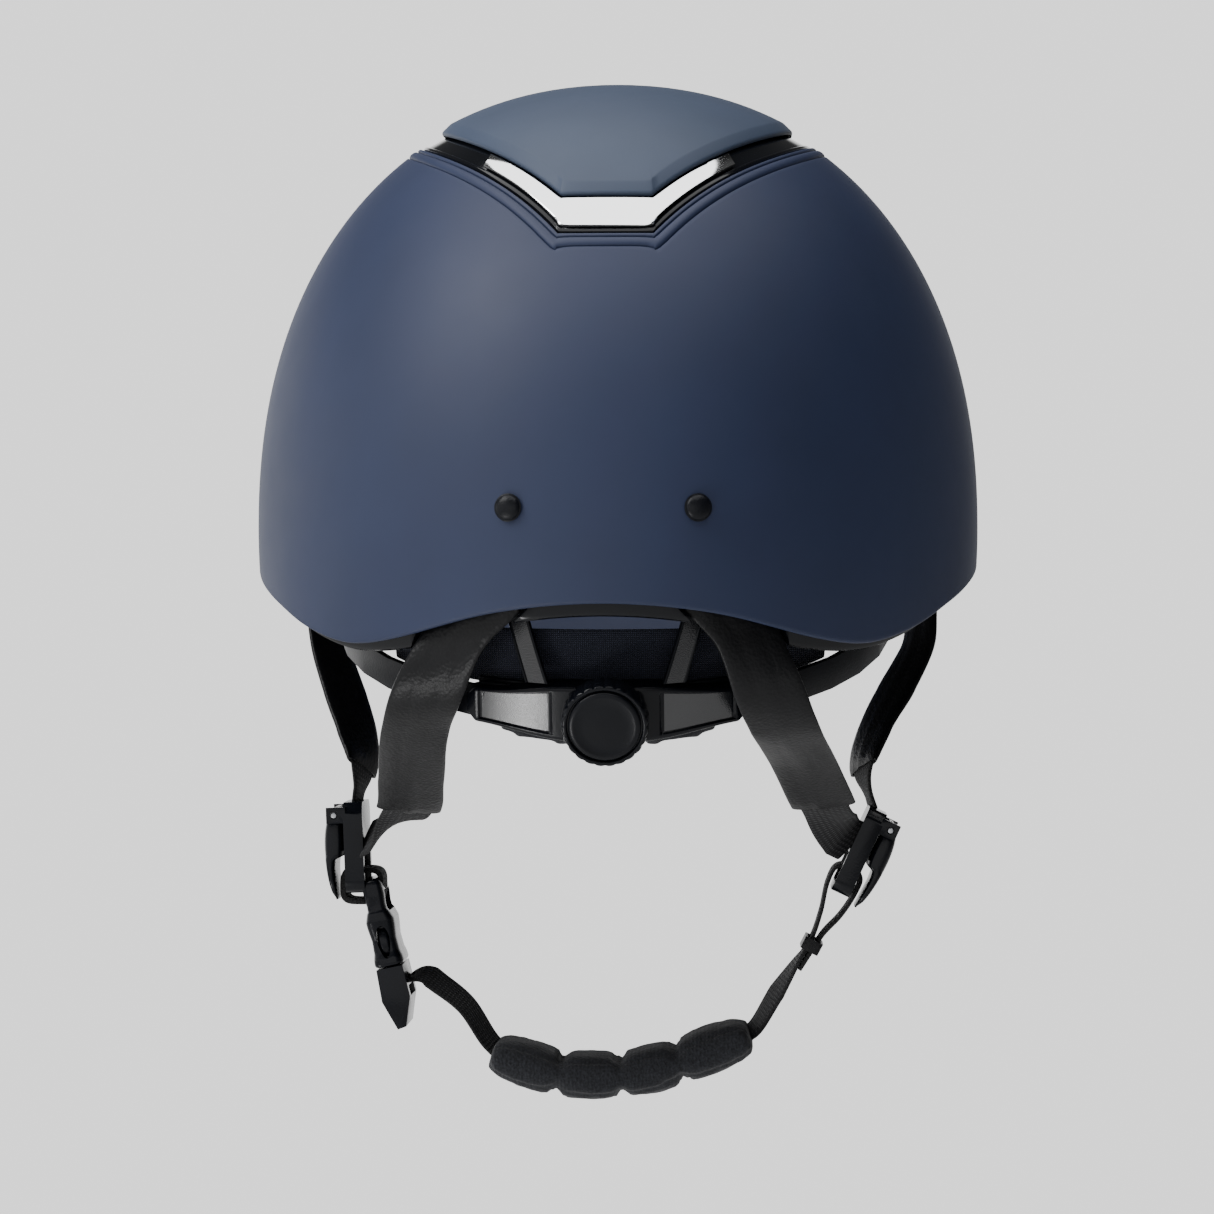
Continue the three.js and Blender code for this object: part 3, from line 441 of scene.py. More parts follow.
def steel():
    """Zinc-plated steel for pins, screws and plates."""
    s = Shader("zinc_steel", (0.4, 0.41, 0.43), 0.35, 1.0)
    s.roughen(s.noise(300, 3), 0.28, 0.45)
    s.bump(s.noise(700, 2), 0.02, 0.4)
    return s.material


# ---------------------------------------------------------------- dome surface
def along(knots, x):
    """A value read on a smooth line through knots of (x, value)."""
    xs, ys = np.array(knots, float).T
    slopes = np.zeros(len(xs))
    slopes[1:-1] = (ys[2:] - ys[:-2]) / (xs[2:] - xs[:-2])
    i = np.clip(np.searchsorted(xs, x) - 1, 0, len(xs) - 2)
    span = xs[i + 1] - xs[i]
    t = np.clip((x - xs[i]) / span, 0, 1)
    rise = (2 * t**3 - 3 * t**2 + 1) * ys[i] + (3 * t**2 - 2 * t**3) * ys[i + 1]
    return rise + span * ((t**3 - 2 * t**2 + t) * slopes[i] + (t**3 - t**2) * slopes[i + 1])


def smoothstep(t):
    t = np.clip(t, 0, 1)
    return t * t * (3 - 2 * t)


def squared(value, power):
    """A sine or cosine pushed away from zero, which squares off a round outline."""
    return math.copysign(abs(value) ** power, value)


def full_turn(count):
    return np.linspace(0, 2 * math.pi, count, endpoint=False)


def from_rear(angle):
    """Degrees round from the rear, the same on both sides."""
    return np.abs((np.asarray(angle, float) + 540) % 360 - 180)


def rim_height(angle):
    return along(RIM, from_rear(angle))


def profile_for(z):
    """The profile parameter at a height: 0 at the crown, 1 at the equator, more below it."""
    z = np.asarray(z, float)
    share = np.clip((z - EQUATOR) / HEIGHT, 0, 1)
    domed = np.arccos(share ** (SQUARENESS / 2)) / (math.pi / 2)
    return np.where(z < EQUATOR, 1 + (EQUATOR - z) / SKIRT, domed)


def on_surface(angle, u):
    """Points at degrees round from the rear and a profile parameter."""
    a, u = np.broadcast_arrays(np.radians(np.asarray(angle, float)), np.asarray(u, float))
    power = 2 / SQUARENESS
    turn = np.clip(u, 0, 1) * math.pi / 2
    down = np.maximum(u - 1, 0) * SKIRT
    reach = np.where(u > 1, 1 - TUCK * (down / TUCK_DEPTH) ** 2, np.sin(turn) ** power)
    z = np.where(u > 1, EQUATOR - down, EQUATOR + HEIGHT * np.clip(np.cos(turn), 0, 1) ** power)
    length = np.where(np.cos(a) > 0, REAR, FRONT)
    return np.stack([reach * HALF_WIDTH * np.sin(a), -reach * length * np.cos(a), z], axis=-1)


def dome_normal(angle, u):
    u = np.maximum(np.asarray(u, float), 0.01)
    angle = np.asarray(angle, float)
    down = on_surface(angle, u + 0.004) - on_surface(angle, u - 0.004)
    sideways = on_surface(angle + 0.5, u) - on_surface(angle - 0.5, u)
    normal = np.cross(down, sideways)
    return normal / np.linalg.norm(normal, axis=-1, keepdims=True)


def dome(angle, u, offset=0.0):
    """Points on the dome, moved out from its surface."""
    angle, u, offset = np.broadcast_arrays(*(np.asarray(v, float) for v in (angle, u, offset)))
    points = on_surface(angle, u) + dome_normal(angle, u) * offset[..., None]
    crown = np.stack([0 * u, 0 * u, EQUATOR + HEIGHT + offset], axis=-1)
    return np.where((u <= 0)[..., None], crown, points)


def edge_of(outline, angle):
    """Where each meridian leaves an outline, whose ends bow out to look straight from behind."""
    angle = np.asarray(angle, float)
    inside, outside = np.zeros(angle.shape), np.ones(angle.shape)
    for _ in range(40):
        u = (inside + outside) / 2
        p = on_surface(angle, u)
        bow = 1 + 0.0125 * np.maximum(0, 1 - (p[..., 0] / outline["end"]) ** 2)
        y = (p[..., 1] - PLATEAU_Y) / (outline["reach"] * bow)
        half = outline["end"] + outline["side"] * (1 - np.abs(y) ** outline["power"])
        within = (np.abs(y) < 1) & (np.abs(p[..., 0]) < half)
        inside, outside = np.where(within, u, inside), np.where(within, outside, u)
    return inside


def meridians(count):
    """Even steps round the dome, with the outlines' corners among them."""
    corners = [8.6, 9.05, 170.35, 170.9]
    even = np.linspace(0, 360, count, endpoint=False)
    return np.array(sorted({*even, *corners, *(360 - c for c in corners)}))


def per_mm(outline, angles):
    """Profile parameter per millimetre square to the outline, at each meridian."""
    u = edge_of(outline, angles)
    outward = (on_surface(angles, u + 0.003) - on_surface(angles, u - 0.003)) / 0.006
    after, before = angles + 0.4, angles - 0.4
    run = on_surface(after, edge_of(outline, after)) - on_surface(before, edge_of(outline, before))
    run /= np.linalg.norm(run, axis=1, keepdims=True)
    reach = np.linalg.norm(np.cross(outward, run), axis=1)
    rate = 1 / np.maximum(reach, 60)
    window = np.hanning(9)
    window /= window.sum()
    return np.convolve(np.concatenate([rate[-4:], rate, rate[:4]]), window, "valid")


def dome_rings(angles, rows):
    """Rings of a body from rows of (profile parameter per angle, offset), one ring per meridian."""
    return np.stack([dome(angles, u, offset) for u, offset in rows], axis=1)


# ---------------------------------------------------------------- shell and its trim
SHELL_MERIDIANS, TRIM_MERIDIANS = 300, 240


def outer_shell(finish):
    """The shell, with a raised bead between two fine grooves round the channel and a rolled rim."""
    angles = meridians(SHELL_MERIDIANS)
    edge, rate = edge_of(CHANNEL, angles), per_mm(CHANNEL, angles)
    rim = profile_for(rim_height(angles))
    rows = [(edge * t, -RECESS) for t in (0, 0.35, 0.7, 0.9)] + [(edge, -RECESS), (edge, -0.3)]
    bead = [(0.15, -0.08), (0.4, 0), (0.9, 0), (1.1, -0.1), (1.35, -0.55), (1.6, -0.1),
            (1.8, 0.08), (2.3, 0.3), (3.0, 0.38), (3.7, 0.3), (4.2, 0.08),
            (4.4, -0.1), (4.65, -0.55), (4.9, -0.1), (5.2, 0), (6.2, 0), (8, 0)]
    rows += [(edge + d * rate, offset) for d, offset in bead]
    start = edge + 8 * rate
    rows += [(start + (rim - start) * t, 0.0) for t in np.linspace(0, 1, 46)[1:-1]]
    down = 1 / SKIRT
    rows += [(rim - 1.2 * down, 0), (rim - 0.6 * down, -0.08), (rim - 0.2 * down, -0.35), (rim, -0.85),
             (rim, -1.6), (rim - 0.3 * down, -2.15), (rim - 1.0 * down, -WALL)]
    rows += [(rim + (start - rim) * t, -WALL) for t in (0.12, 0.4, 0.7, 1)]
    rows += [(start, -RECESS - WALL), (start * 0.5, -RECESS - WALL), (start * 0, -RECESS - WALL)]
    piece = loft("shell", dome_rings(angles, rows), finish, loop=True)
    settle(crease(piece, 50), "helmet", "outer_shell")


def centre_panel(finish):
    """The raised panel: a wide bevel round its edge and a softly crowned middle."""
    angles = meridians(TRIM_MERIDIANS)
    edge, rate = edge_of(PANEL, angles), per_mm(PANEL, angles)
    flat = edge - 4.4 * rate
    rows = [(flat * t, 1.8) for t in np.linspace(0, 1, 16)]
    rows += [(edge - d * rate, offset) for d, offset in
             [(4.0, 1.78), (3.6, 1.7), (0.9, 0.95), (0.45, 0.78), (0.15, 0.5), (0, 0.1), (0, -0.4)]]
    rows += [(edge * t, -0.45) for t in (0.95, 0.6, 0.3, 0)]
    piece = loft("top_panel", dome_rings(angles, rows), finish, loop=True)
    settle(crease(piece, 40), "helmet", "centre_panel")


def channel_trim(finish):
    """The gloss band in the channel: a shallow trough with a raised lip along its outer edge."""
    angles = meridians(TRIM_MERIDIANS)
    inner, rate_in = edge_of(PANEL, angles), per_mm(PANEL, angles)
    outer, rate_out = edge_of(CHANNEL, angles), per_mm(CHANNEL, angles)
    middle = (inner + outer) / 2
    rows = [(inner + d * rate_in, offset) for d, offset in ((-4, -2.2), (-4, -1.3), (0.6, -1.25))]
    rows.append((middle, -1.1))
    lip = ((2.4, -0.95), (2.0, -0.55), (1.5, -0.4), (0.9, -0.5), (0.6, -0.9), (0.6, -2.2))
    rows += [(outer - d * rate_out, offset) for d, offset in lip]
    rows.append((middle, -2.25))
    piece = loft("gloss_band", dome_rings(angles, rows), finish, loop=True)
    settle(crease(piece, 35), "helmet", "channel_trim")


def chrome_trim(finish):
    """The bright U at the band's rear end, slightly hollow between two rounded edges."""
    angles = np.array(sorted({*np.linspace(-29, 29, 90), -9.05, -8.6, 8.6, 9.05}))
    inner, rate_in = edge_of(PANEL, angles), per_mm(PANEL, angles)
    outer, rate_out = edge_of(CHANNEL, angles), per_mm(CHANNEL, angles)
    low, high = inner + 1.1 * rate_in, outer - 2.6 * rate_out
    span = high - low
    rows = [(low, -0.5), (low, 0.15), (low + 0.06 * span, 0.4)]
    rows += [(low + t * span, 0.42 - 0.25 * math.sin(math.pi * t)) for t in (0.15, 0.35, 0.5, 0.65, 0.85)]
    rows += [(low + 0.94 * span, 0.4), (high, 0.15), (high, -0.5)]
    piece = loft("bright_u", dome_rings(angles, rows), finish)
    settle(crease(piece, 50), "helmet", "chrome_trim")


def rim_bezel(finish):
    """The gloss rim under the shell's edge: two rounded steps, then a slope up to the foam."""
    angles = meridians(SHELL_MERIDIANS)
    nape = smoothstep((from_rear(angles) - 30) / 14)
    rim = rim_height(angles)
    depth = -15 - 1.5 * nape
    low = rim - 4.2 + 1.4 * nape
    steps = ((1.6, -3.1), (0.5, -3.5), (0, -4.4), (0.2, -5.6),
             (1.0, -6.6), (1.1, -7.4), (0.7, -8.4), (1.0, -9.6))
    slope = ((-1.6, 1.2), (-1.2, 0.2), (0, 0), (0.6, 0.4))
    rows = [(rim + 5.6, -3.1)]
    rows += [(low + up, offset) for up, offset in steps]
    rows += [(rim + up, depth + offset) for up, offset in slope]
    rows.append((rim + 5.6, -5.2))
    rings = dome_rings(angles, [(profile_for(height), offset) for height, offset in rows])
    piece = loft("rim_ring", rings, finish, loop=True)
    for strap in STRAPS:
        carve(piece, strap)
    settle(crease(piece, 35), "helmet", "rim_bezel")


def carve(piece, strap):
    """Cuts the way of the strap's upper half through a ring."""
    thick = 8 if strap["rear"] else 5.4
    rings = [box_section(station, 22.4, thick) for station in strap["line"][:STATIONS // 2]]
    cut_away(piece, loft("cutter", rings, piece.data.materials[0]))


# ---------------------------------------------------------------- strap routes
def catmull_rom(points, count):
    """Centripetal spline through points at equal steps of its parameter: its places and directions."""
    p = np.asarray(points, float)
    p = np.vstack([2 * p[0] - p[1], p, 2 * p[-1] - p[-2]])
    places, runs = [], []
    for value in np.linspace(0, len(p) - 3, count + 1):
        i = min(int(value), len(p) - 4)
        t = value - i
        a, b, c, d = p[i:i + 4]
        gaps = [max(np.linalg.norm(n - m), 1e-6) ** 0.5 for m, n in ((a, b), (b, c), (c, d))]
        m1 = (b - a) / gaps[0] - (c - a) / (gaps[0] + gaps[1]) + (c - b) / gaps[1]
        m2 = (c - b) / gaps[1] - (d - b) / (gaps[1] + gaps[2]) + (d - c) / gaps[2]
        m1, m2 = m1 * gaps[1], m2 * gaps[1]
        h = (2 * t**3 - 3 * t**2 + 1, t**3 - 2 * t**2 + t, 3 * t**2 - 2 * t**3, t**3 - t**2)
        g = (6 * t**2 - 6 * t, 3 * t**2 - 4 * t + 1, 6 * t - 6 * t**2, 3 * t**2 - 2 * t)
        places.append(h[0] * b + h[1] * m1 + h[2] * c + h[3] * m2)
        run = g[0] * b + g[1] * m1 + g[2] * c + g[3] * m2
        runs.append(run / np.linalg.norm(run))
    return np.array(places), np.array(runs)


def stations(route, count):
    """Places along a strap with their width and outward directions."""
    points = [r[:3] for r in route]
    across = np.array([r[3:] for r in route], float)
    places, runs = catmull_rom(points, count)
    out = []
    for k, (at, run) in enumerate(zip(places, runs)):
        value = k * (len(route) - 1) / count
        i = min(int(value), len(route) - 2)
        w = across[i] + (across[i + 1] - across[i]) * smoothstep(value - i)
        w = w - run * w.dot(run)
        w /= np.linalg.norm(w)
        out.append((at, w, np.cross(w, run)))
    return out


def pinned(angle, z, depth=4.4, flip=1):
    """A point of a route that lies against the shell's inside."""
    u = profile_for(z)
    across = np.cross((0, 0, 1), dome_normal(angle, u)) * flip
    return (*dome(angle, u, -depth), *across)


def rear_route(side):
    """From the rear rivet down to the divider: place, then the width's direction."""
    left = [(-41, -114.4, -20, 0.85, -0.5, 0), (-52, -107, -40, 1, -0.25, 0),
            (-57, -90, -52, 1, 0, 0), (-60.6, -60, -67, 1, 0, 0),
            (-64, -36, -78, 1, 0, 0), (-76.4, -14, -86.5, 0.5, 0.2, 0.9)]
    right = [(39.2, -115.4, -20, 0.85, 0.45, 0), (46.4, -110.8, -37, 0.95, 0.3, 0),
             (51.6, -98.4, -49.5, 1, 0.15, 0), (58, -64, -62, 1, 0, 0),
             (65, -36, -77, 1, 0, 0), (70.5, -13, -86.5, 0.6, -0.2, 0.8)]
    angle = side * REAR_RIVET[0]
    return [pinned(angle, 22), pinned(angle, 13.5), pinned(angle, -2, 5.8)] + (left if side < 0 else right)


def front_route(side):
    """From the front rivet down to the divider, in the same form."""
    left = [(-99.5, 42, 3, 0.25, 1, 0.2), (-97, 31, -12, 0.3, 1, 0.3), (-93, 22, -29, 0.38, 1, 0.3),
            (-87.8, 14, -43, 0.42, 1, 0.3), (-83.2, 6, -56, 0.42, 1, 0.2), (-81.4, 0, -67, 0.3, 1, 0),
            (-82.2, -1.6, -73.9, 0.1, 1, 0)]
    right = [(99, 42, 3, -0.25, 1, 0.2), (97, 31, -12, -0.3, 1, 0.3), (95, 22, -27, -0.3, 1, 0.3),
             (88, 14, -41, -0.35, 1, 0.3), (80.5, 6, -55, -0.35, 1, 0.2), (77.4, 0, -67, -0.3, 1, 0.1),
             (79.3, -1.5, -75.2, -0.1, 1, 0)]
    top = [pinned(side * angle, z, flip=side) for angle, z in ((116.5, 31), FRONT_RIVET, (112.5, 14))]
    return top + (left if side < 0 else right)


STATIONS = 120


def harness_strap(end, side, name):
    """One harness strap: its stations, its rivet and the stations between which its sleeve runs."""
    rear = end == "rear"
    angle, height = REAR_RIVET if rear else FRONT_RIVET
    route = rear_route(side) if rear else front_route(side)
    return dict(name=f"{end}_{name}", rear=rear, rivet=(side * angle, height),
                sleeve=(36, 103) if rear else (39, 105), line=stations(route, STATIONS))


STRAPS = [harness_strap(end, side, name) for end in ("rear", "front") for side, name in SIDES]
# Where each strap's webbing ends inside its divider.
TAILS = dict(rear_left=(-79.2, -9.5, -88), rear_right=(74, -9, -88.4),
             front_left=(-82.7, -2, -78.5), front_right=(80.6, -2, -79))


def box_section(station, width, thick):
    """A plain rectangle square to a strap."""
    at, across, out = station
    return [at + across * a * width / 2 + out * b * thick / 2 for a, b in CORNERS]


def soft_section(station, width, thick):
    """A flattened round section: full width, thinning to soft edges."""
    at, across, out = station
    ring = []
    for turn in full_turn(36):
        x = squared(math.cos(turn), 0.75) * width / 2
        y = squared(math.sin(turn), 0.75) * thick / 2
        ring.append(at + across * x + out * y)
    return ring


def sleeve(strap, finish):
    """A leather sleeve round the webbing, with a raised seam welt, gentle creases and turned ends."""
    first, last = strap["sleeve"]
    line = strap["line"][first:last + 1]
    rings = []
    for i, station in enumerate(line):
        from_end = min(i, len(line) - 1 - i)
        puff = 3.4 - 0.35 * max(0, 2 - from_end)
        wobble = 0.35 * noise.noise(Vector((i * 0.13, len(strap["name"]), 2.0)))
        rings.append(soft_section(station, 20 + wobble, puff + 0.5 * wobble))
    rings = np.array(rings)
    seam_welt(rings, line, strap)
    inner = np.array([soft_section(station, 17.4, 2.2) for station in line])
    piece = loft(f"leather_{strap['name']}", np.concatenate([rings, inner[::-1]]), finish, loop=True)
    settle(crease(piece, 50), "helmet", f"sleeve_{strap['name']}")


def seam_welt(rings, line, strap):
    """Raises a thin welt along the middle of the sleeve's inner face, or its outer one in front."""
    middle, push = (27, -0.55) if strap["rear"] else (9, 0.55)
    for ring, (_, _, out) in zip(rings, line):
        ring[middle] += out * push
        for side in (-1, 1):
            ring[middle + side] -= out * push * 0.25


def ribbon(name, line, finish):
    """Flat webbing with rounded selvedges."""
    lower = [(-1, -0.2), (-0.96, -0.7), (-0.9, -1), (-0.3, -1)]
    lower += [(-a, b) for a, b in reversed(lower)]
    section = lower + [(-a, -b) for a, b in lower]
    rings = []
    for at, across, out in line:
        rings.append([at + across * a * WEB_WIDTH / 2 + out * b * WEB_THICK / 2 for a, b in section])
    return loft(name, rings, finish, uv_size=2 * WEB_WIDTH)


def planar_line(route, count, twists):
    """Stations of a strip in the XZ plane, its width turned from Y by (share of length, degrees) twists."""
    places, runs = catmull_rom([(x, HARNESS_Y, z) for x, z in route], count)
    shares, angles = zip(*twists)
    out = []
    for k, (at, run) in enumerate(zip(places, runs)):
        side, up = np.array((0.0, 1.0, 0.0)), np.array((-run[2], 0, run[0]))
        turn = math.radians(np.interp(k / count, shares, angles))
        c, s = math.cos(turn), math.sin(turn)
        out.append((at, side * c + up * s, up * c - side * s))
    return out


def add_straps(looks):
    for strap in STRAPS:
        name = strap["name"]
        at, across, out = strap["line"][-1]
        tail = [(at + (np.array(TAILS[name]) - at) * t, across, out) for t in np.linspace(0, 1, 8)[1:]]
        web = ribbon(f"web_{name}", strap["line"] + tail, looks["webbing"])
        settle(web, "helmet", f"strap_{name}")
        sleeve(strap, looks["leather"])
        rivet(strap, looks["plastic"])
        bevelled(f"anchor_plate_{name}", "helmet", looks["steel"], 0.3)


def turned(name, profile, finish, segments=48):
    """A body turned round Z from (radius, height) points that start and end on the axis."""
    rings = [[(r * math.cos(t), r * math.sin(t), h) for r, h in profile] for t in full_turn(segments)]
    return loft(name, rings, finish, loop=True)


def rivet(strap, finish):
    """A domed cap with a fine shoulder, on a shank through the shell."""
    angle, z = strap["rivet"]
    u = profile_for(z)
    shank = [(0, -8.5), (3, -8.5), (3, -7.7), (1.9, -7.6), (1.9, 0.3), (3.9, 0.3), (4.05, 0.5), (4.0, 0.8)]
    cap = [(3.7 * math.cos(t), 0.9 + 1.6 * math.sin(t)) for t in np.linspace(0, math.pi / 2, 9)]
    piece = crease(turned(f"rivet_{strap['name']}_fine", shank + cap, finish), 35)
    normal = Vector(dome_normal(angle, u))
    piece.data.transform(normal.to_track_quat("Z", "Y").to_matrix().to_4x4())
    shifted(piece, dome(angle, u))
    settle(piece, "helmet", f"rivet_{strap['name']}")


# ---------------------------------------------------------------- peak
PEAK_SPAN, PEAK_LENGTH, PEAK_DROP, PEAK_ROOT, PEAK_SIDE = 83, 50, 37, 12, 5


def peak_edge(s):
    """The peak's root on the shell and its tip, for s from -1 at its left end to 1 at its right."""
    angle = 180 + PEAK_SPAN * s
    root = dome(angle, profile_for(PEAK_ROOT + (PEAK_SIDE - PEAK_ROOT) * s * s), 0.5)
    reach = 2 + PEAK_LENGTH * (1 - abs(s) ** 2.3)
    ahead = dome_normal(angle, 1.0) * (1, 1, 0) * 0.35 + (0, 1, 0)
    ahead /= np.linalg.norm(ahead)
    tip = root + ahead * reach
    tip[2] -= PEAK_DROP * (reach / (2 + PEAK_LENGTH)) ** 1.15
    return root, tip


def peak(paint, trim):
    """A thin arched peak with a soft lower lip, and the gloss bead round its free edge."""
    steps = np.sin(np.linspace(-math.pi / 2, math.pi / 2, 120))
    rings, beads = [], []
    for s in steps:
        root, tip = peak_edge(s)
        arch = 3 * (1 - s * s)
        upper, lower = [], []
        for t in np.linspace(0, 1, 14):
            at = root + (tip - root) * t + (0, 0, arch * 4 * t * (1 - t))
            upper.append(at)
            lower.append(at - (0, 0, 2 + 1.6 * (1 - t)))
        rings.append(upper + lower[::-1])
        out = (tip - root) * (1, 1, 0)
        out /= np.linalg.norm(out)
        middle = tip + out * 1.5 + (0, 0, -1.0)
        beads.append([middle + out * 1.3 * math.cos(t) + (0, 0, 1.9 * math.sin(t)) for t in full_turn(16)])
    settle(crease(loft("peak_board", rings, paint), 45), "helmet", "peak")
    settle(crease(loft("peak_bead", beads, trim), 45), "helmet", "peak_trim")


# ---------------------------------------------------------------- nape cradle
def on_arc(arc, height, radius):
    """A point on a cylinder round the cradle's tilted upright axis."""
    x = radius * math.sin(arc / ARM_RADIUS)
    y = -radius * math.cos(arc / ARM_RADIUS)
    c, s = math.cos(HEAD_TILT), math.sin(HEAD_TILT)
    return np.array((x, HEAD_Y + y * c - height * s, HEAD_Z + y * s + height * c))


def along_dial(piece):
    """Stands a body that was made along +Z, in millimetres from the cradle's centre, on the dial's axis."""
    piece.data.transform(Euler((math.radians(90) + HEAD_TILT, 0, 0)).to_matrix().to_4x4())
    return shifted(piece, (0, HEAD_Y, HEAD_Z))


WING = 41


def cradle_cover(gloss, texture):
    """Two wings with a framed, textured recess each, joined behind the dial."""
    upper = [0.4, 0.72, 0.76, 0.8, 0.86, 0.94, 0.985, 1]
    heights = [-v for v in reversed(upper)] + [0] + upper
    rings = []
    for arc in np.linspace(-WING, WING, 165):
        reach = abs(arc) / WING
        tall = 7.7 + 0.9 * np.clip(1.25 - reach, 0, 1)
        tall *= 1 - 0.3 * smoothstep((reach - 0.25) / 0.65) - 0.3 * smoothstep((reach - 0.93) / 0.07)
        ring = []
        for v in heights:
            inside = smoothstep((0.79 - abs(v)) / 0.05) * smoothstep((0.92 - reach) / 0.02)
            inside *= smoothstep((abs(arc) - 15.0) / 0.8)
            edge = 1.1 * (1 - math.sqrt(max(0, 1 - max(0, (abs(v) - 0.86) / 0.14) ** 2)))
            rise = 0.5 * (1 - reach)
            ring.append(on_arc(arc, tall * v, 87.3 + rise - 0.9 * inside - edge))
        back = ((tall, 81.0), (tall - 0.9, 81.0), (tall - 0.9, 85.6))
        ring += [on_arc(arc, height, radius) for height, radius in back]
        ring += [on_arc(arc, -height, radius) for height, radius in reversed(back)]
        rings.append(ring)
    piece = loft("wing_cover", rings, gloss)
    piece.data.materials.append(texture)
    for polygon in piece.data.polygons:
        x, _, z = polygon.center / MM
        arc = abs(math.asin(np.clip(x / 87, -1, 1)) * ARM_RADIUS)
        lift = (z - on_arc(arc, 0, 87)[2]) / math.cos(HEAD_TILT)
        wide = 6.1 if arc < 25 else 5.2
        if 16.5 < arc < 36.5 and abs(lift) < wide * 0.8 and polygon.normal.y < -0.3:
            polygon.material_index = 1
    settle(crease(piece, 35), "cradle", "cradle_cover")


def dial(finish, face):
    """The grip ring with fine scallops, a rounded shoulder and a recess for its face."""
    lobes = 24
    profile = [(0, 83), (2, 83), (2, 88.7), (11.6, 88.7), (12.5, 89.2), (12.7, 90), (12.7, 95),
               (12.45, 95.9), (12.0, 96.4), (11.5, 96.5), (11.1, 96.3), (10.95, 95.9), (10.9, 95.3),
               (0, 95.3)]
    rings = []
    for turn in full_turn(288):
        scallop = 0.35 * abs(math.sin(lobes * turn / 2)) ** 0.7 - 0.35
        cut = [(r + scallop if r > 12.2 else r, h) for r, h in profile]
        rings.append([(r * math.cos(turn), r * math.sin(turn), h) for r, h in cut])
    knob = along_dial(loft("dial_grip", rings, finish, loop=True))
    settle(crease(knob, 45), "dial", "dial_knob")
    cap_profile = [(0, 95.6), (10.45, 95.6), (10.5, 96.0), (10.4, 96.4), (10.0, 96.75), (9.2, 96.9),
                   (8.8, 96.85), (8.4, 96.7), (6, 96.75), (3, 96.85), (0, 96.9)]
    cap = along_dial(turned("dial_face", cap_profile, face, 96))
    settle(crease(cap, 45), "dial", "dial_cap")


def arc_band(name, arcs, low, high, inner, outer, finish):
    """A thin band on the cradle's cylinder with rounded edges; low and high follow the arc."""
    rings = []
    for arc in arcs:
        a, b = low(arc), high(arc)
        ring = []
        for turn in full_turn(24):
            height = (a + b) / 2 + squared(math.cos(turn), 0.35) * (b - a) / 2
            radius = (inner + outer) / 2 + squared(math.sin(turn), 0.7) * (outer - inner) / 2
            ring.append(on_arc(arc, height, radius))
        rings.append(ring)
    return loft(name, rings, finish)


def hanger(side, name, gloss, texture):
    """A flat strip with a raised edge, up from the wing to the inside of the rim."""
    section = [(-3.4, 86.1), (-3.3, 85.9), (3.3, 85.9), (3.4, 86.1), (3.4, 87.0), (3.2, 87.3),
               (2.7, 87.3), (2.4, 87.0), (-2.4, 87.0), (-2.7, 87.3), (-3.2, 87.3), (-3.4, 87.0)]
    rings = []
    for t in np.linspace(0, 1, 24):
        arc, height, lean = 19.5 + 7.1 * t, 9 + 19 * t, 4.3 * t
        rings.append([on_arc(side * arc + across, height, radius - lean) for across, radius in section])
    piece = loft(f"hanger_{name}_fine", rings, gloss)
    piece.data.materials.append(texture)
    for polygon in piece.data.polygons:
        if polygon.area > 3.5 * MM * 0.7 * MM and polygon.normal.y < -0.5:
            polygon.material_index = 1
    settle(crease(piece, 35), "cradle", f"hanger_{name}")


def add_cradle(looks):
    cradle_cover(looks["satin"], looks["dimpled"])
    dial(looks["satin"], looks["face"])
    sling = arc_band("mesh_sling", np.linspace(-78, 78, 90),
                     lambda arc: 4 - 1.2 * smoothstep((abs(arc) - 42) / 24),
                     lambda arc: 23.5 - 8.5 * (arc / 75) ** 2, 78.2, 79.9, looks["mesh"])
    settle(sling, "cradle", "nape_sling")
    for side, name in SIDES:
        hanger(side, name, looks["satin"], looks["dimpled"])
        bevelled(f"cradle_screw_{name}", "cradle", looks["steel"], 0.2)
        bevelled(f"temple_bracket_{name}", "helmet", looks["plastic"], 0.3)
        bevelled(f"arm_{name}", f"arm_{name}", looks["plastic"], 0.25, 2)
    bevelled("cradle_back", "cradle", looks["plastic"], 0.3)
    bevelled("dial_pinion", "dial", looks["plastic"], 0.12, 2)


# ---------------------------------------------------------------- pads
SWELL_FRAMES, SWELL_PRESSURE = 20, 4.0


def swell(piece, cap, voxel):
    """Remeshes a closed form and inflates it as cloth; each point travels cap millimetres at most."""
    remesh = piece.modifiers.new("remesh", "REMESH")
    remesh.mode = "VOXEL"
    remesh.voxel_size = voxel * MM
    apply_modifiers(piece)
    before = [v.co.copy() for v in piece.data.vertices]
    cloth = piece.modifiers.new("cloth", "CLOTH")
    cloth.settings.use_pressure = True
    cloth.settings.uniform_pressure_force = SWELL_PRESSURE
    cloth.settings.effector_weights.gravity = 0
    cloth.settings.quality = 5
    scene = bpy.context.scene
    for number in range(1, SWELL_FRAMES + 1):
        scene.frame_set(number)
    apply_modifiers(piece)
    scene.frame_set(1)
    for vertex, start in zip(piece.data.vertices, before):
        travel = vertex.co - start
        if travel.length > cap * MM:
            vertex.co = start + travel.normalized() * cap * MM
    refine = piece.modifiers.new("refine", "SUBSURF")
    refine.levels = refine.render_levels = 1
    apply_modifiers(piece)
    for polygon in piece.data.polygons:
        polygon.use_smooth = True
    return piece


CHIN_LINE = [(-39.3, -154.6), (-18.4, -161.6), (1.1, -162.2), (19.4, -157.8), (41.5, -148.9)]
CHIN_STEPS, CHIN_LENGTH, PUFFS = 64, 82, 4


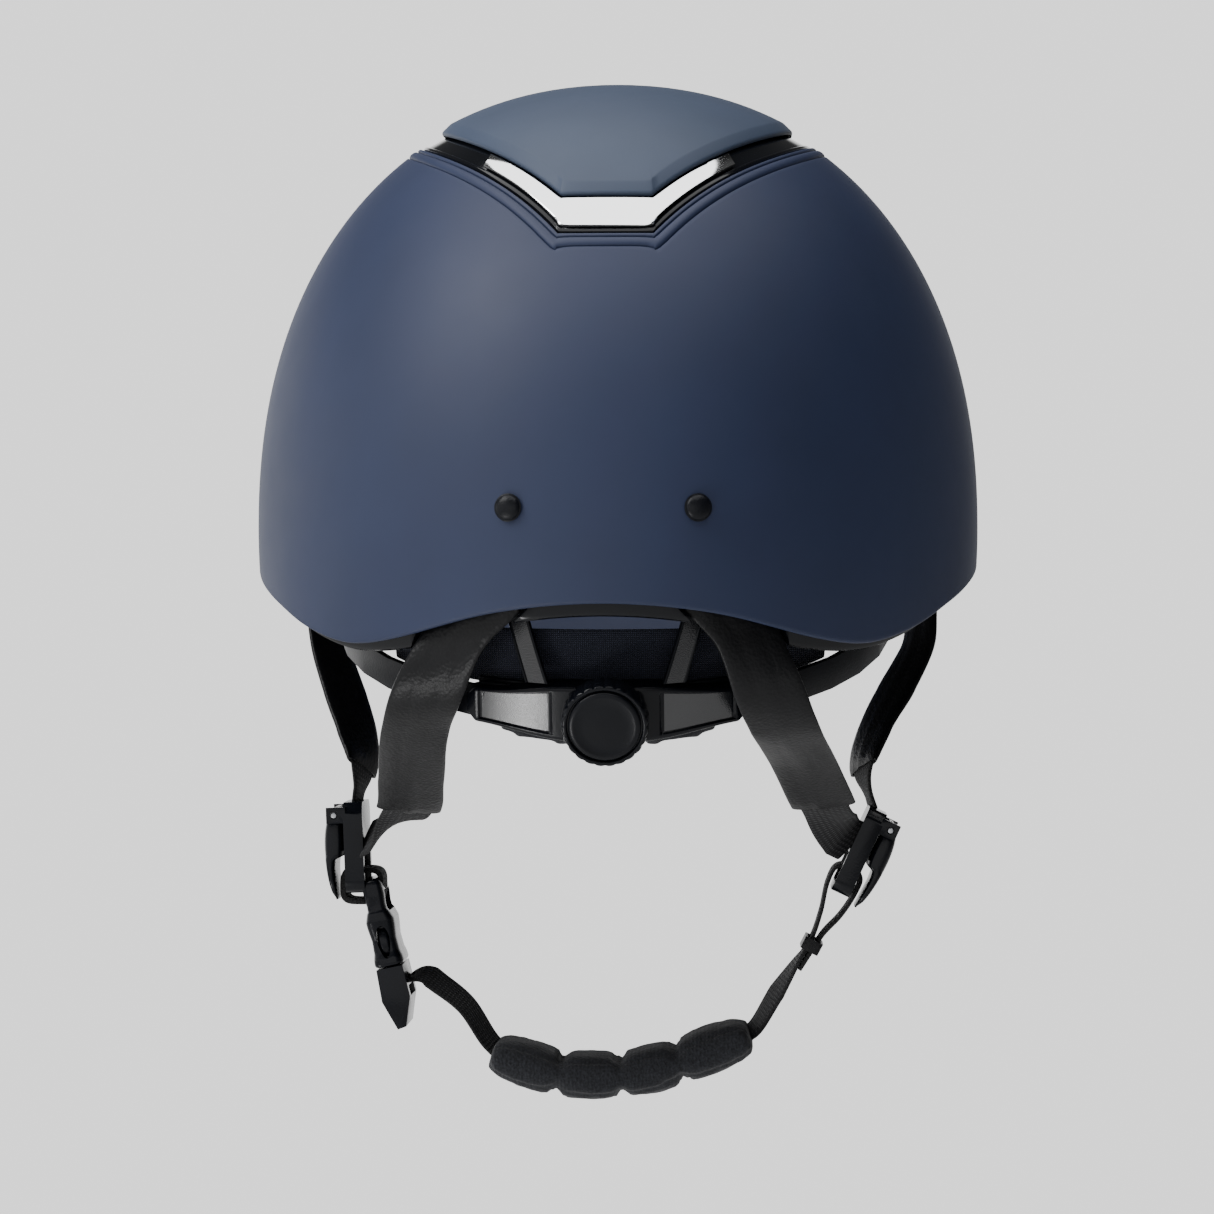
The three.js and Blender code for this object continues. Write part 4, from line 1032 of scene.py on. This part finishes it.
def chin_pad(finish):
    """A quilted wrap of four puffs, with sewn valleys and a turned edge."""
    places, runs = catmull_rom([(x, HARNESS_Y, z) for x, z in CHIN_LINE], CHIN_STEPS)
    rings = []
    for k, (at, run) in enumerate(zip(places, runs)):
        t = k / CHIN_STEPS
        out = np.array((-run[2], 0, run[0]))
        end = min(1, 0.82 + 6 * min(t, 1 - t))
        puff = (4.9 + 1.5 * abs(math.sin(PUFFS * math.pi * t)) ** 0.6) * end
        half = 17 * (0.8 + 0.2 * end)
        rings.append([at + (0, half * squared(math.cos(a), 0.5), 0) + out * puff * squared(math.sin(a), 0.8)
                      for a in full_turn(32)])
    piece = swell(loft("quilted_chin_pad", rings, finish), cap=0.9, voxel=2.0)
    quilt(piece, places, runs)
    settle(piece, "chin_loop", "chin_pad")


def quilt(piece, places, runs):
    """Presses the sewn valleys into the pad and a seam along both of its long edges."""
    valleys = [i / PUFFS for i in range(1, PUFFS)]
    for vertex in piece.data.vertices:
        p = np.array(vertex.co) / MM
        k = int(np.argmin(np.linalg.norm((places - p) * (1, 0, 1), axis=1)))
        out = np.array((-runs[k][2], 0, runs[k][0]))
        lift = float((p - places[k]).dot(out))
        valley = max(math.exp(-((k / CHIN_STEPS - v) * CHIN_LENGTH / 1.7) ** 2) for v in valleys)
        seam = math.exp(-((abs(p[1] - HARNESS_Y) - 13.5) / 0.8) ** 2)
        fold = 0.25 * noise.noise(Vector(p * 0.35))
        press = 0.3 * valley + 0.14 * seam * (1 - valley)
        vertex.co -= Vector(out * (lift * press - fold)) * MM


# How far the foam's inner face lies inside the dome.
FOAM_FACE = -27.0
CROWN_REACH = 0.42


def lining_pad(name, node, angles, low, high, finish, seams):
    """A puffed pad on the foam's inner face, with sewn lines at the given angles."""
    rings = []
    for angle in angles:
        u = np.linspace(profile_for(high), profile_for(low), 12)
        edge = np.abs(np.linspace(-1, 1, 12))
        ends = min(abs(angle - angles[0]), abs(angle - angles[-1])) / 3
        end = smoothstep(np.array(0.35 + ends))
        seam = max(math.exp(-((angle - s) / 1.1) ** 2) for s in seams)
        thick = 6.2 * (1 - edge**5) ** 0.5 * end * (1 - 0.55 * seam) + 0.5
        outer, inner = dome(angle, u, FOAM_FACE), dome(angle, u, FOAM_FACE - thick)
        rings.append(np.concatenate([outer, inner[::-1]]))
    piece = crease(loft(name, rings, finish), 60)
    settle(piece, "helmet", node)


def crown_pad(finish):
    """A round pad in the crown, sewn in eight wedges."""
    angles = np.linspace(0, 360, 144, endpoint=False)
    rows = [(np.full(angles.shape, CROWN_REACH * t), FOAM_FACE) for t in np.linspace(0, 1, 12)]
    wedge = np.abs(np.sin(np.radians(angles) * 4)) ** 0.5
    for t in np.linspace(1, 0, 16):
        puff = 6.0 * (1 - t**6) ** 0.5 * (0.55 + 0.45 * wedge * (1 - math.exp(-(t * 6) ** 2)))
        rows.append((np.full(angles.shape, CROWN_REACH * t), FOAM_FACE - 0.5 - puff))
    piece = crease(loft("crown_cushion", dome_rings(angles, rows), finish, loop=True), 60)
    settle(piece, "helmet", "crown_pad")


def nape_pad(finish):
    """The cushion between the cradle and the nape, puffed towards the head."""
    half = 36
    piece = arc_band("nape_cushion", np.linspace(-half, half, 60), lambda arc: -14 + 3 * (arc / half) ** 4,
                     lambda arc: 8.2 - 2 * (arc / half) ** 4, 75.6, 79.2, finish)
    swell(piece, cap=1.0, voxel=2.4)
    settle(piece, "cradle", "nape_pad")


# ---------------------------------------------------------------- harness
LEFT_STRAP = [(-69.2, -136), (-66, -132.2), (-61, -130.9), (-56, -134), (-48, -140.5), (-41, -151),
              (-38, -154.4)]
RIGHT_STRAP = [(40.5, -149.5), (43.4, -146.9), (49.4, -137), (55.5, -127.5), (60.6, -119.5),
               (63.8, -110.5), (66, -101), (68.5, -96.4), (71.8, -95.7), (74.9, -97.1), (76.3, -100),
               (74.5, -104.7), (70, -111.5), (64.8, -117), (62.4, -120.4), (57.1, -128.6)]
# Each divider's place along X and its lean in degrees.
DIVIDERS = dict(left=(-82, -2), right=(70.5, 25))


def hung(piece, x, lean):
    """Stands a body made about its bar on the harness's pivot line, leaning by lean degrees."""
    piece.data.transform(Euler((0, math.radians(lean), 0)).to_matrix().to_4x4())
    return shifted(piece, (x, HARNESS_Y, HARNESS_Z))


def rounded_ring(left, right, half, z, count=40, power=0.42):
    """A level rounded rectangle from left to right along X and half to each side along Y."""
    middle, reach = (left + right) / 2, (right - left) / 2
    return [(middle + squared(math.cos(turn), power) * reach, squared(math.sin(turn), power) * half, z)
            for turn in full_turn(count)]


# The flap's outer and inner faces, as distance from the pivot line at each height.
FLAP_OUTER = [(-4, 6.6), (-1.5, 7.8), (3, 8.9), (9, 9.6), (15, 9.7), (20, 9.0), (23, 7.9), (25, 6.2)]
FLAP_INNER = [(-4, 6.0), (-1.5, 6.2), (8.4, 6.2), (9.8, 3.7), (21, 3.5), (23, 3.9), (25, 5.0)]


def crescent_flap(side, name, finish):
    """The cam flap: a full crescent that covers the divider's outer face."""
    rings = []
    for z in np.linspace(-4, 25, 60):
        half = 11.2 * (1 - 0.3 * abs((z - 10.5) / 14.5) ** 5)
        near, far = side * float(along(FLAP_INNER, z)), side * float(along(FLAP_OUTER, z))
        rings.append(rounded_ring(near, far, half, z))
    piece = hung(loft(f"flap_{name}_fine", rings, finish), *DIVIDERS[name])
    settle(crease(piece, 50), f"flap_{name}", f"divider_flap_{name}")


BUCKLE_X, BUCKLE_LEAN = -77, -12.7
# Height, half the thickness and half the width, from the strap bar down to the lip.
CASING = [(2.3, 2.0, 11.4), (1.6, 2.9, 12.2), (0.4, 3.3, 12.5), (-3, 3.4, 12.5), (-6, 3.1, 12.3),
          (-7.6, 3.2, 12.3), (-8.4, 3.7, 12.5), (-11, 4.6, 12.5), (-13, 4.5, 12.3), (-17, 4.0, 11.9),
          (-21, 4.2, 12.1), (-23, 4.7, 12.5), (-24.6, 4.8, 12.5), (-25.2, 4.5, 12.3), (-25.4, 4.1, 12)]


def buckle_casing(finish):
    """The female half: a squarish strap bar block, a waisted body, side windows and a rounded lip."""
    heights, thick, half = np.array(CASING[::-1]).T
    rings = []
    for z in np.unique(np.concatenate([heights, np.linspace(heights[0], heights[-1], 30)])):
        t, w = np.interp(z, heights, thick), np.interp(z, heights, half)
        rings.append(rounded_ring(-t, t, w, z, 48, 0.36))
    piece = loft("buckle_casing", rings, finish)
    drop = [(2.5 * math.cos(a) * (0.8 + 0.2 * math.sin(a)), -17.8 + 5.2 * math.sin(a))
            for a in full_turn(32)]
    eye = loft("eye", [[(x, 8.1 * a, -5.2 + 3.35 * b) for a, b in CORNERS] for x in (-8, 8)], finish)
    hollow = loft("hollow", [rounded_ring(-2.9, 2.9, 10.9, z, 24, 0.2) for z in (-30, -10.6)], finish)
    window = loft("window", [[(x, y, z) for x, z in drop] for y in (-15, 15)], finish)
    cut_away(piece, eye, hollow, window)
    hung(piece, BUCKLE_X, BUCKLE_LEAN)
    settle(crease(piece, 35), "chin_loop", "buckle_female")


def thumb_pad(side, name, finish):
    """A springy prong whose drop-shaped pad bulges out of the casing's window."""
    rings = []
    for z in np.linspace(-25.2, -13, 50):
        share = max(0.0, 1 - ((z + 18) / 4.4) ** 2)
        thick = 1.9 if share == 0 else 1.9 - 0.3 * (1 - share)
        near, far = 7.4, 9.6 + 1.6 * share ** 0.6
        ring = []
        for turn in full_turn(28):
            y = (near + far) / 2 + squared(math.cos(turn), 0.6) * (far - near) / 2
            ring.append((squared(math.sin(turn), 0.6) * thick, side * y, z))
        rings.append(ring)
    piece = hung(loft(f"prong_{name}", rings, finish), BUCKLE_X, BUCKLE_LEAN)
    settle(crease(piece, 50), name, name)


def link_loop(finish):
    """The webbing loop that ties the buckle's bar to the divider's: two layers, drawn tight."""
    centre = -80.4
    section = [(-1, -0.8), (-0.4, -1.1), (0.4, -1.1), (1, -0.8), (1.02, 0),
               (1, 0.8), (0.4, 1.1), (-0.4, 1.1), (-1, 0.8), (-1.02, 0)]
    rings = []
    for turn in full_turn(64):
        c, s = math.cos(turn), math.sin(turn)
        at = np.array((centre + squared(c, 0.5) * 6.0, HARNESS_Y, HARNESS_Z + squared(s, 0.5) * 5.0))
        out = np.array((c * 0.7, 0, s)) / math.hypot(c * 0.7, s)
        rings.append([at + out * b + (0, a * WEB_WIDTH / 2, 0) for a, b in section])
    piece = loft("link_web", rings, finish, loop=True, uv_size=34)
    settle(crease(piece, 50), "chin_loop", "buckle_link")


def chin_straps(finish):
    """The left strap stays where it is built, on no body; the right one runs round its divider's bar."""
    left = planar_line(LEFT_STRAP, 60, [(0, 0), (0.15, 0), (0.4, 20), (1, 14)])
    left = ribbon("chin_web_left", left, finish)
    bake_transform(left)
    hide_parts("chin_strap_left")
    right = planar_line(RIGHT_STRAP, 200, [(0, 12), (0.14, 16), (0.23, 0), (1, 0)])
    right = ribbon("chin_web_right", right, finish)
    settle(right, "chin_loop", "chin_strap_right")


def add_harness(looks):
    chin_straps(looks["webbing"])
    for _, name in SIDES:
        bevelled(f"divider_base_{name}", "helmet", looks["satin"], 1.2, 4)
        bevelled(f"flap_pin_{name}", "helmet", looks["steel"], 0.15, 2)
    for side, name in SIDES:
        crescent_flap(side, name, looks["satin"])
    link_loop(looks["webbing"])
    bevelled("strap_keeper", "chin_loop", looks["leather"], 0.4)
    buckle_casing(looks["satin"])
    bevelled("buckle_male", "buckle_plug", looks["satin"], 1.1, 4)
    thumb_pad(1, "latch_front", looks["satin"])
    thumb_pad(-1, "latch_rear", looks["satin"])


# ---------------------------------------------------------------- the whole
# Each lining pad's piece, node, span of angles, ring count, lowest and highest edge, and seams.
LINING_PADS = [
    ("brow_cushion", "brow_pad", (128, 232), 80, (20, 48), (150, 180, 210)),
    ("side_cushion_left", "side_pad_left", (-116, -62), 50, (20, 46), (-89,)),
    ("side_cushion_right", "side_pad_right", (62, 116), 50, (20, 46), (89,)),
]


def main():
    aimed_camera()
    plain_floor()
    studio_walls()
    for name, place, size, power in SOFTBOXES:
        softbox(name, place, size, power)
    looks = dict(
        navy=soft_touch("navy_soft_touch", (0.0122, 0.0195, 0.052)),
        panel=soft_touch("panel_soft_touch", (0.033, 0.048, 0.082)),
        gloss=gloss_black(), chrome=chrome(), foam=bead_foam(), lining=lining(), mesh=mesh_cloth(),
        leather=leather(), webbing=webbing(), plastic=moulded(), satin=moulded("satin_plastic", 0.2, 0.02),
        face=moulded("dial_face_plastic", 0.3, 0.015), dimpled=dimpled(), steel=steel(),
    )
    outer_shell(looks["navy"])
    centre_panel(looks["panel"])
    channel_trim(looks["gloss"])
    chrome_trim(looks["chrome"])
    rim_bezel(looks["gloss"])
    peak(looks["navy"], looks["gloss"])
    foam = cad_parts["foam_liner"].data.materials
    foam.clear()
    foam.append(looks["foam"])
    add_straps(looks)
    add_cradle(looks)
    add_harness(looks)
    crown_pad(looks["lining"])
    for name, node, span, count, edges, seams in LINING_PADS:
        lining_pad(name, node, np.linspace(*span, count), *edges, looks["lining"], seams)
    nape_pad(looks["lining"])
    chin_pad(looks["lining"])


main()
